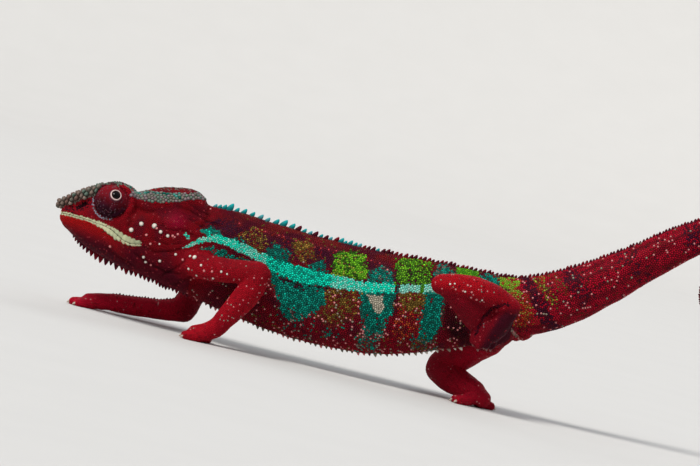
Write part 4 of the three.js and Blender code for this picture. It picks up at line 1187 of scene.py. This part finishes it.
def add_scales(name, ground, seats, radii, heights, colours, profile, lean=0.0, limit=9000, dark=0.75):
    """Scales as joined meshes, each scale one colour, with painted shade where it meets the next and a
    painted highlight on its top.
    """
    places, normals, face = seats
    around = radii.shape[1]
    lean = np.broadcast_to(lean, places.shape)
    # Painted shade towards each scale's edge, as deep as dark sets it, and a painted highlight at its top.
    shades = np.append(np.repeat([1.05 - dark * share**3 for share, _ in profile], around), 1.12)
    ways = np.stack([np.cos(circle(around)), np.sin(circle(around))], axis=1)
    patch = np.vstack([ways * share for share, _ in profile] + [np.zeros((1, 2))]) * PATCH
    for number, start in enumerate(range(0, len(places), limit), 1):
        part = slice(start, start + limit)
        shape = places[part], normals[part], radii[part], heights[part], profile, lean[part]
        points, triangles = domes(*shape)
        piece = add_mesh(f"{name}_{number}", to_world(points.reshape(-1, 3)), triangles)
        tint = colours[part][:, None] * shades[None, :, None]
        uv = ground.uv[face[part]][:, None] + patch[None]
        finish_piece(piece, tint.reshape(-1, 3), uv.reshape(-1, 2), ground.material)


SMALL_PROFILE = [(1.0, -0.35), (0.74, 0.62)]
LARGE_PROFILE = [(1.0, -0.4), (0.93, 0.35), (0.72, 0.75), (0.38, 0.97)]


def dot_rates(places, part):
    """How often a scale is one of the pale dots."""
    x, z = places[:, 0], places[:, 2]
    on_trunk, leg, arm = part == TRUNK_PART, part >= FRONT_LEFT, part == FRONT_LEFT
    flank = on_trunk & (z < 39) & (x < 118)
    shin = arm & (z > 12) & (z < np.interp(x, [8, 20], [31, 35]))
    rates = [
        (flank & ((x < 16) | (x > 94)), 0.03), (flank, 0.062), (on_trunk & (x > 118), 0.04),
        (on_trunk, 0.0025), (shin & (z > 24), 0.035), (shin, 0.055),
        ((part == HIND_LEFT) & (z > 44) & (x < 112), 0.03), (arm, 0.008), (leg, 0.005),
    ]
    plain = np.maximum(within(x, z, SHED), within(x, z, STRIPE) * 2) < -0.8
    return np.select(*zip(*rates), 0) * plain


def fixed_scales(ground):
    """The scales that have a place and a size of their own, and how many of them are spots."""
    spots, radii = spot_places(ground)
    pebbles, rings = pebble_places(), turret_places(ground)
    sizes = [radii * 2, np.full(len(pebbles), PEBBLE), np.full(len(rings), TURRET_SPACING)]
    return np.vstack([spots, pebbles]), rings, np.concatenate(sizes), len(spots)


def add_coat(ground, skin):
    face_part = skin.part[skin.faces[:, 0]]
    density = 1 / (PACKING * spacing_at(skin.places[skin.faces].mean(axis=1), face_part) ** 2)
    density[face_part == TURRET_PART] = 0
    places = scatter(skin, density)
    fixed, rings, fixed_sizes, spots = fixed_scales(ground)
    places = np.vstack([fixed, rings, places[clear_of(places, fixed, fixed_sizes / 2)]])
    held = len(fixed) + len(rings)
    places, _, face = ground.nearest(places)
    part = skin.part[skin.faces[face, 0]]
    sizes = spacing_at(places, part)
    dots = rng.random(len(places)) < dot_rates(places, part)
    sizes *= np.where(dots & (part == TRUNK_PART), 1.15, rng.uniform(0.88, 1.08, len(places)))
    sizes[:held] = fixed_sizes
    seats = settle(ground, places, sizes, held)
    places, _, face = seats
    part = skin.part[skin.faces[face, 0]]
    part[len(fixed) : held] = TURRET_PART
    chance = rng.random((2, len(places)))
    colours = Painter(places, part, chance).paint()
    uneven = np.where(part == TRUNK_PART, 0.25, 0.16)[:, None]
    colours *= 1 + uneven * rng.uniform(-1, 1, (len(places), 1))
    greenish = colours[:, 1] > colours[:, 0]
    colours[dots & ~greenish] = choose((PINK, PINK, BEIGE, PINK), chance[1])[dots & ~greenish]
    colours[dots & greenish] *= 1.6
    pebbles = colours[spots : len(fixed)]
    pebbles[pebbles[:, 0] > 2.5 * pebbles[:, 1]] = GREY
    small = choose((WHITE, PINK), chance[1][:spots])
    colours[:spots] = np.where((sizes[:spots] > WHITE_SPOT)[:, None], WHITE, small)
    group = np.minimum(part, FRONT_LEFT)
    heights = sizes * np.choose(group, [0.34, 0.3, 0.3, 0.22]) * rng.uniform(0.85, 1.15, len(places))
    heights = np.where(sizes > LARGE, sizes * np.where(sizes > RAISED, 0.62, 0.36), heights)
    heights[:spots] = sizes[:spots] * 0.3
    near, large = neighbours(places), sizes > LARGE
    large[:spots] = True
    wide = rooms(seats, sizes, large, near, LARGE_AROUND)
    wide[:spots] = np.minimum(wide[:spots], sizes[:spots, None] / 2)
    radii = rooms(seats, sizes, np.arange(len(places)), near, AROUND)

    def add(name, chosen, reach, profile, **settings):
        seat = [values[chosen] for values in seats]
        add_scales(name, ground, seat, reach, heights[chosen], colours[chosen], profile, **settings)

    # dark sets how deep the painted shade is where the scales of each kind meet.
    add("scales_large", large, wide, LARGE_PROFILE, limit=2200, dark=0.6)
    order = np.argsort(part, kind="stable")
    for number, (name, dark) in enumerate((("trunk", 0.75), ("head", 0.7), ("turret", 0.7), ("legs", 0.5))):
        chosen = order[(group[order] == number) & ~large[order]]
        add(f"scales_{name}", chosen, radii[chosen], SMALL_PROFILE, dark=dark)
    print("scales", len(places), np.bincount(group))


def turret_frame(side):
    """The turret's centre, its gaze and two directions across the gaze, on one side."""
    mirror = np.array([1, -side, 1])
    first, second = frames(GAZE[None] * mirror)
    return TURRET * mirror, GAZE * mirror, first[0], second[0]


def turret_places(ground):
    """Scales in rings round each eye's opening, out to where the turret meets the head."""
    found = []
    for side in (-1, 1):
        centre, axis, first, second = turret_frame(side)
        step = math.degrees(TURRET_SPACING * PACKING / TURRET_RADIUS)
        for ring, angle in enumerate(np.arange(*TURRET_RINGS, step)):
            polar = math.radians(angle)
            count = max(int(2 * math.pi * TURRET_RADIUS * math.sin(polar) / TURRET_SPACING), 8)
            turn = (np.arange(count) + ring % 2 / 2) / count * 2 * math.pi
            around = np.cos(turn)[:, None] * first + np.sin(turn)[:, None] * second
            found.append(centre + TURRET_SKIN * (axis * math.cos(polar) + around * math.sin(polar)))
    found = np.vstack(found)
    return found[np.linalg.norm(ground.nearest(found)[0] - found, axis=1) < 0.35]


def pebble_places():
    """Large scales in rows along the ridge from the snout's tip to the brow."""
    places, _ = along_points(*RIDGES[0], spacing=0.1)
    reach = reach_along(places)
    found = []
    for turn, start in ((90, 0.7), (37, 1.7), (-14, 0.7), (143, 1.7)):
        middle = np.stack(columns(np.arange(start, reach[-1] - 0.4, PEBBLE * 1.02), reach, places), axis=1)
        angle = math.radians(turn)
        found.append(middle + np.array([-0.2, -math.cos(angle), math.sin(angle)]) * 1.6)
    found = np.vstack(found)
    found = found[found[:, 1] < -0.4]
    return np.vstack([found, found * (1, -1, 1)])


def clear_of(places, fixed, radii):
    """Which places stand clear of the fixed ones."""
    tree = kd_tree(fixed)
    found = [tree.find(place) for place in places.tolist()]
    return np.array([hit[2] > radii[hit[1]] * 1.35 for hit in found])


def spot_places(ground):
    spots = np.array(SPOTS)
    both = [ground.from_side(spots[:, 0], spots[:, 1], side) for side in (-1, 1)]
    near_arm = spots[:, 0] > -13
    both[1] = both[1][~near_arm]
    return np.vstack(both), np.concatenate([spots[:, 2], spots[~near_arm, 2]])


# ---- crests, lips, lids, eyes and claws

SPIKE = [(1.0, -0.2), (0.88, 0.15), (0.62, 0.5), (0.34, 0.8)]
LEAF = [(1.0, -0.25), (0.97, 0.15), (0.82, 0.45), (0.55, 0.75), (0.25, 0.94)]
PLATE = [(1.0, -0.35), (0.93, 0.45), (0.68, 0.85), (0.35, 0.98)]
CLAW_SIDES = 16
CLOSED_CLAW_SHADE = (0.42, 0.22, 0.24)  # painted shade: the claws of the closed foot are darkened as they lie in its shade
# Along a row of spikes: place (a point's number on the spine, X for the others), how far apart, how tall.
SPINE_SIZES = np.array([
    (0, 2, 1.5), (8, 2.2, 1.8), (12, 3.2, 2.9), (18, 3.3, 2.4), (58, 3.1, 2.4), (75, 2.3, 2), (110, 2, 1.8),
    (150, 1.9, 1.6), (254, 1.6, 1.3), (500, 1.2, 0.9), (620, 0.8, 0.5),
])
THROAT_SIZES = np.array([
    (-57.5, 1.5, 1), (-53, 1.8, 1.7), (-48, 2.2, 2.5), (-38, 2.2, 2.4), (-28, 1.9, 1.9), (-18, 1.5, 1.4),
    (-4, 1.4, 1.1),
])
BELLY_SIZES = np.array([(-3.5, 2.0, 1.2), (88, 2.3, 1.4), (104, 2.2, 1.4)])


def oriented(normals, along, long, wide, around, power=2.0):
    """The reach of an oval base in each direction of domes(): long half its length, wide half its width."""
    first, second = frames(normals)
    turn = np.arctan2((along * second).sum(axis=1), (along * first).sum(axis=1))
    angle = circle(around) - turn[:, None]
    cosine, sine = np.abs(np.cos(angle)), np.abs(np.sin(angle))
    return 1 / ((cosine / long[:, None]) ** power + (sine / wide[:, None]) ** power) ** (1 / power)


def spaced(path, gap):
    """Places along a path, as far apart as gap says there, their directions and their point numbers."""
    reach, at = reach_along(path), [0.0]
    while at[-1] < reach[-1]:
        at.append(at[-1] + np.interp(at[-1], reach, gap) * rng.uniform(0.85, 1.15))
    at = np.array(at[:-1])
    places, ahead = (np.stack(columns(at + step, reach, path), axis=1) for step in (0, 0.5))
    return places, unit(ahead - places + 1e-6), np.interp(at, reach, np.arange(len(path)))


def add_spikes(name, ground, path, sizes, colours_of, profile=SPIKE, base=0.4, lean=0.45, vary=0.3):
    """A row of flattened spikes along a path over the skin; sizes are how far apart and how tall they are."""
    gap, tall = sizes
    places, along, number = spaced(path, gap)
    tall = np.interp(number, np.arange(len(path)), tall) * (1 + vary * rng.uniform(-1, 1, len(number)))
    on_skin, normals, face = ground.nearest(places)
    normals = unit(np.cross(along, np.cross(normals, along)) * (1, 0, 1))
    radii = oriented(normals, along, base * tall + 0.25, base * 0.6 * tall + 0.25, LARGE_AROUND)
    add_scales(name, ground, (on_skin, normals, face), radii, tall, colours_of(places), profile,
               lean=along * (tall * lean)[:, None], limit=1500)


def random_of(*colours):
    return lambda places: choose(colours, rng.random(len(places)))


def back_colours(places):
    x, pick = places[:, 0], rng.random(len(places))
    on_tail = np.arange(len(places)) > np.argmax(x > 118)
    bright, dull = choose((SKY, PALE_BLUE, SKY), pick), choose((MAROON, DEEP_RED, MAROON), pick)
    chance = np.interp(x, [20, 34, 56, 72], [1, 0.7, 0.4, 0]) * ~on_tail
    return np.where((rng.random(len(places)) < chance)[:, None], bright, dull)


def belly_colours(places):
    pick = rng.random(len(places))
    pale, white = choose((BEIGE, GREY, MAROON, PINK), pick), choose((WHITE, BEIGE, WHITE), pick)
    return np.where((places[:, 0] > 90)[:, None], white, pale)


def level_line(x, z):
    """Places on the mid-plane."""
    return np.stack([x, 0 * x, z], axis=1)


def add_crests(ground):
    x = np.arange(-5.5, TRUNK[-1, 0], 0.5)
    _, tall, _ = curve(TAIL, TAIL_ALONG).T
    up = level_line(-np.sin(TAIL_HEADING), np.cos(TAIL_HEADING))
    spine = np.vstack([level_line(x, curve(TRUNK, x)[:, 0]), (TAIL_AXIS + up * tall[:, None])[8:-60:2]])
    sizes = columns(np.arange(len(spine)), SPINE_SIZES[:, 0], SPINE_SIZES[:, 1:])
    add_spikes("crest_back", ground, spine, sizes, back_colours, LEAF, base=0.42, vary=0.22)
    line = np.vstack([HEAD[2:, [0, -1]], TRUNK[2:-1, [0, 2]]])
    throat_colours = random_of(THROAT, MAROON, DEEP_RED)
    for name, sizes, colours_of in (
        ("throat", THROAT_SIZES, throat_colours), ("belly", BELLY_SIZES, belly_colours)
    ):
        x = np.arange(sizes[0, 0], sizes[-1, 0], 0.5)
        path = level_line(x, np.interp(x, line[:, 0], line[:, 1]))
        sizes = columns(x, sizes[:, 0], sizes[:, 1:])
        add_spikes(f"crest_{name}", ground, path, sizes, colours_of, lean=0.3)
    arm = curve([(0, -9, 26, 14.6), (8, -17, 24.4, 12.2), (19, -28, 21.8, 10.8), (30, -38, 19.4, 9.4)],
                np.arange(0, 30, 0.5))
    sizes = np.full((2, len(arm)), [[1.3], [0.65]])
    add_spikes("crest_arm", ground, arm, sizes, throat_colours, lean=-0.3)


def lip_path(ground):
    """The line between the lips, from the middle of the snout back along the left side."""
    front = [(-65.5, 0, 37.2), (-65.3, -1.2, 37.2), (-64.9, -2.4, 37.2), (-64.2, -3.4, 37.2)]
    x = np.arange(-63.4, -31.6, 0.4)
    side = ground.from_side(x, np.interp(x, LIPS[:, 0], LIPS[:, 2]), -1)
    return np.vstack([ground.nearest(np.array(front))[0], side])


def add_lips(ground):
    path = lip_path(ground)
    gap = np.interp(path[:, 0], [-64, -50, -42, -34], [1.3, 1.5, 1.9, 2.1])
    for lip, sign, corner in (("upper", 1, 0.55), ("lower", -1, 0.85)):
        places, along, _ = spaced(path[1:], gap[1:])
        upper, mouth, lower = columns(places[:, 0], LIPS[:, 0], LIPS[:, 1:])
        half = np.maximum(upper - mouth if sign > 0 else mouth - lower, 0.4) / 2
        step = np.interp(places[:, 0], path[:, 0], gap)
        upward = np.array([0, 0, 1.0]) - along * along[:, 2:]
        places = places + along * (step / 2)[:, None] + unit(upward) * (sign * (half + 0.06))[:, None]
        both, ways = (np.vstack([left, left * (1, -1, 1)]) for left in (places, along))
        seats = ground.nearest(both)
        half, step = np.tile(half, 2), np.tile(step, 2)
        radii = oriented(seats[1], ways, step / 2 * 1.2, half * 1.05, LIP_AROUND, power=4)
        radii = jagged(radii, seats[1], sign, corner)
        colours = blend(CREAM, LICHEN, noise(both, 2, 41)) * rng.uniform(0.8, 1.1, (len(both), 1))
        heights = np.full(len(both), 0.24)
        # The lip plates carry a lighter painted shade where they meet.
        add_scales(f"lip_{lip}", ground, seats, radii, heights, colours, PLATE, limit=1000, dark=0.3)


def jagged(radii, normals, sign, most):
    """Draws each lip plate out to a corner on the side away from the mouth."""
    first, second = frames(normals)
    outward = np.array([0.35, 0, 1.0 * sign])
    aim = np.arctan2(second @ outward, first @ outward)
    facing = np.cos(circle(radii.shape[1]) - aim[:, None])
    return radii * (1 + rng.uniform(0.0, most, (len(radii), 1)) * smooth(0.75, 1, facing))


LID_SIDES, LID_BEADS, EYE_SIDES = 96, 26, 64
LID = np.array(  # distance from the gaze, height above the turret's centre, and how pale it is
    [
        (2.95, 5.45, 0), (2.7, 5.95, 0), (2.48, 6.3, 0), (2.33, 6.6, 0.15), (2.2, 6.85, 0.85), (2.07, 7.0, 1),
        (1.93, 7.02, 0.9), (1.81, 6.9, 0.5), (1.73, 6.72, 0.05), (1.7, 6.5, 0),
    ]
)


def lathe(side, profile, around):
    """Rings round one eye's gaze."""
    centre, axis, first, second = turret_frame(side)
    ways = np.cos(circle(around))[:, None] * first + np.sin(circle(around))[:, None] * second
    return np.array([centre + axis * height + ways * reach for reach, height in profile])


def add_eyes():
    lid_material = make_material("lid", 0.4, 0.04, 7000, specular=0.15)
    eye_material = make_material("eye", 0.12, 0.002, 3000, mottle=0.3, specular=0.12)
    fine = curve(np.column_stack([np.arange(len(LID)), LID]), np.linspace(0, len(LID) - 1, 37))
    angles = np.linspace(0, math.pi, 33)[1:-1]
    globe = np.stack([np.sin(angles) * EYE_RADIUS, EYE_REACH + np.cos(angles) * EYE_RADIUS], axis=1)
    for side, name in ((-1, "left"), (1, "right")):
        rings = lathe(side, fine[:, :2], LID_SIDES)
        beads = 0.02 * np.sin(circle(LID_SIDES) * LID_BEADS)[None, :, None] * fine[:, 2][:, None, None]
        places, faces = tube(rings + (rings - rings.mean(axis=1, keepdims=True)) * beads)
        lid = add_mesh(f"lid_{name}", to_world(places), faces[: -2 * LID_SIDES])
        pale = np.append(np.repeat(fine[:, 2], LID_SIDES), [0, 0])
        rim = blend((0.08, 0.008, 0.02), (0.62, 0.47, 0.44), np.clip(pale, 0, 1))
        rim *= (0.8 + 0.4 * noise(places, 0.7, 31))[:, None]
        finish_piece(lid, rim, None, lid_material)
        places, faces = tube(lathe(side, globe, EYE_SIDES))
        eye = add_mesh(f"eyeball_{name}", to_world(places), faces)
        off = np.append(np.repeat(globe[:, 0] + 9 * (globe[:, 1] < EYE_REACH), EYE_SIDES), [0, 9])
        tint = blend((0.002, 0.0015, 0.0015), (0.02, 0.007, 0.004), smooth(1.45, 1.6, off))
        tint = blend(tint, (0.03, 0.010, 0.008), smooth(1.8, 2.1, off))
        finish_piece(eye, tint, None, eye_material)
        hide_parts(f"eye_{name}")


def add_claws():
    """A hooked claw at the end of every toe, in place of the plain cones of the solids."""
    material = make_material("claw", 0.35, 0.03, 1500, specular=0.4)
    t = np.linspace(0, 1, 14)[:, None]
    share = np.append(np.repeat(t[:, 0], CLAW_SIDES), [0, 1])
    tint = blend((0.16, 0.05, 0.04), (0.42, 0.33, 0.27), smooth(0.1, 0.7, share))
    for leg, (side, _, feet) in LEGS.items():
        toes = [(bundle[3], toe) for bundle in feet for toe in toe_lines(side, bundle)]
        for number, (flat_foot, (_, bend, end, hook)) in enumerate(toes, 1):
            way = unit(end - bend)
            line = end - way * 0.5 + way * (2.2 if flat_foot else 1.9) * np.sin(t * 1.25) + hook * 0.75 * t**2
            line[:, 2] = np.maximum(line[:, 2], SOLES + 0.18)
            size = 0.85 * (1 - t[:, 0] ** 1.5) + 0.12
            places, faces = sweep(line, size, unit(np.cross(way, (0.2, 0.3, 0.9))), CLAW_SIDES, flat=0.8)
            claw = add_mesh(f"claw_{leg}_{number}", to_world(places), faces)
            # Painted shade on the claws of the closed foot.
            finish_piece(claw, tint if flat_foot else tint * CLOSED_CLAW_SHADE, None, material)
            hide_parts(f"{leg}_claw_{number}")


add_camera()
add_surroundings()
skin = make_skin()
body = add_mesh("skin", to_world(skin.places), skin.faces)
unwrap(body)
count = len(skin.places)
# The bare skin between the scales is painted at 0.4 of their colour: painted shade in the gaps between them.
under = Painter(skin.places, skin.part, np.stack([np.full(count, 0.5), rng.random(count)])).paint() * 0.4
finish_piece(body, under, None, make_material("skin", 0.5, 0.08, 2500))
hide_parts(*flesh)
ground = Ground(skin, body)
add_coat(ground, skin)
add_crests(ground)
add_lips(ground)
add_eyes()
add_claws()
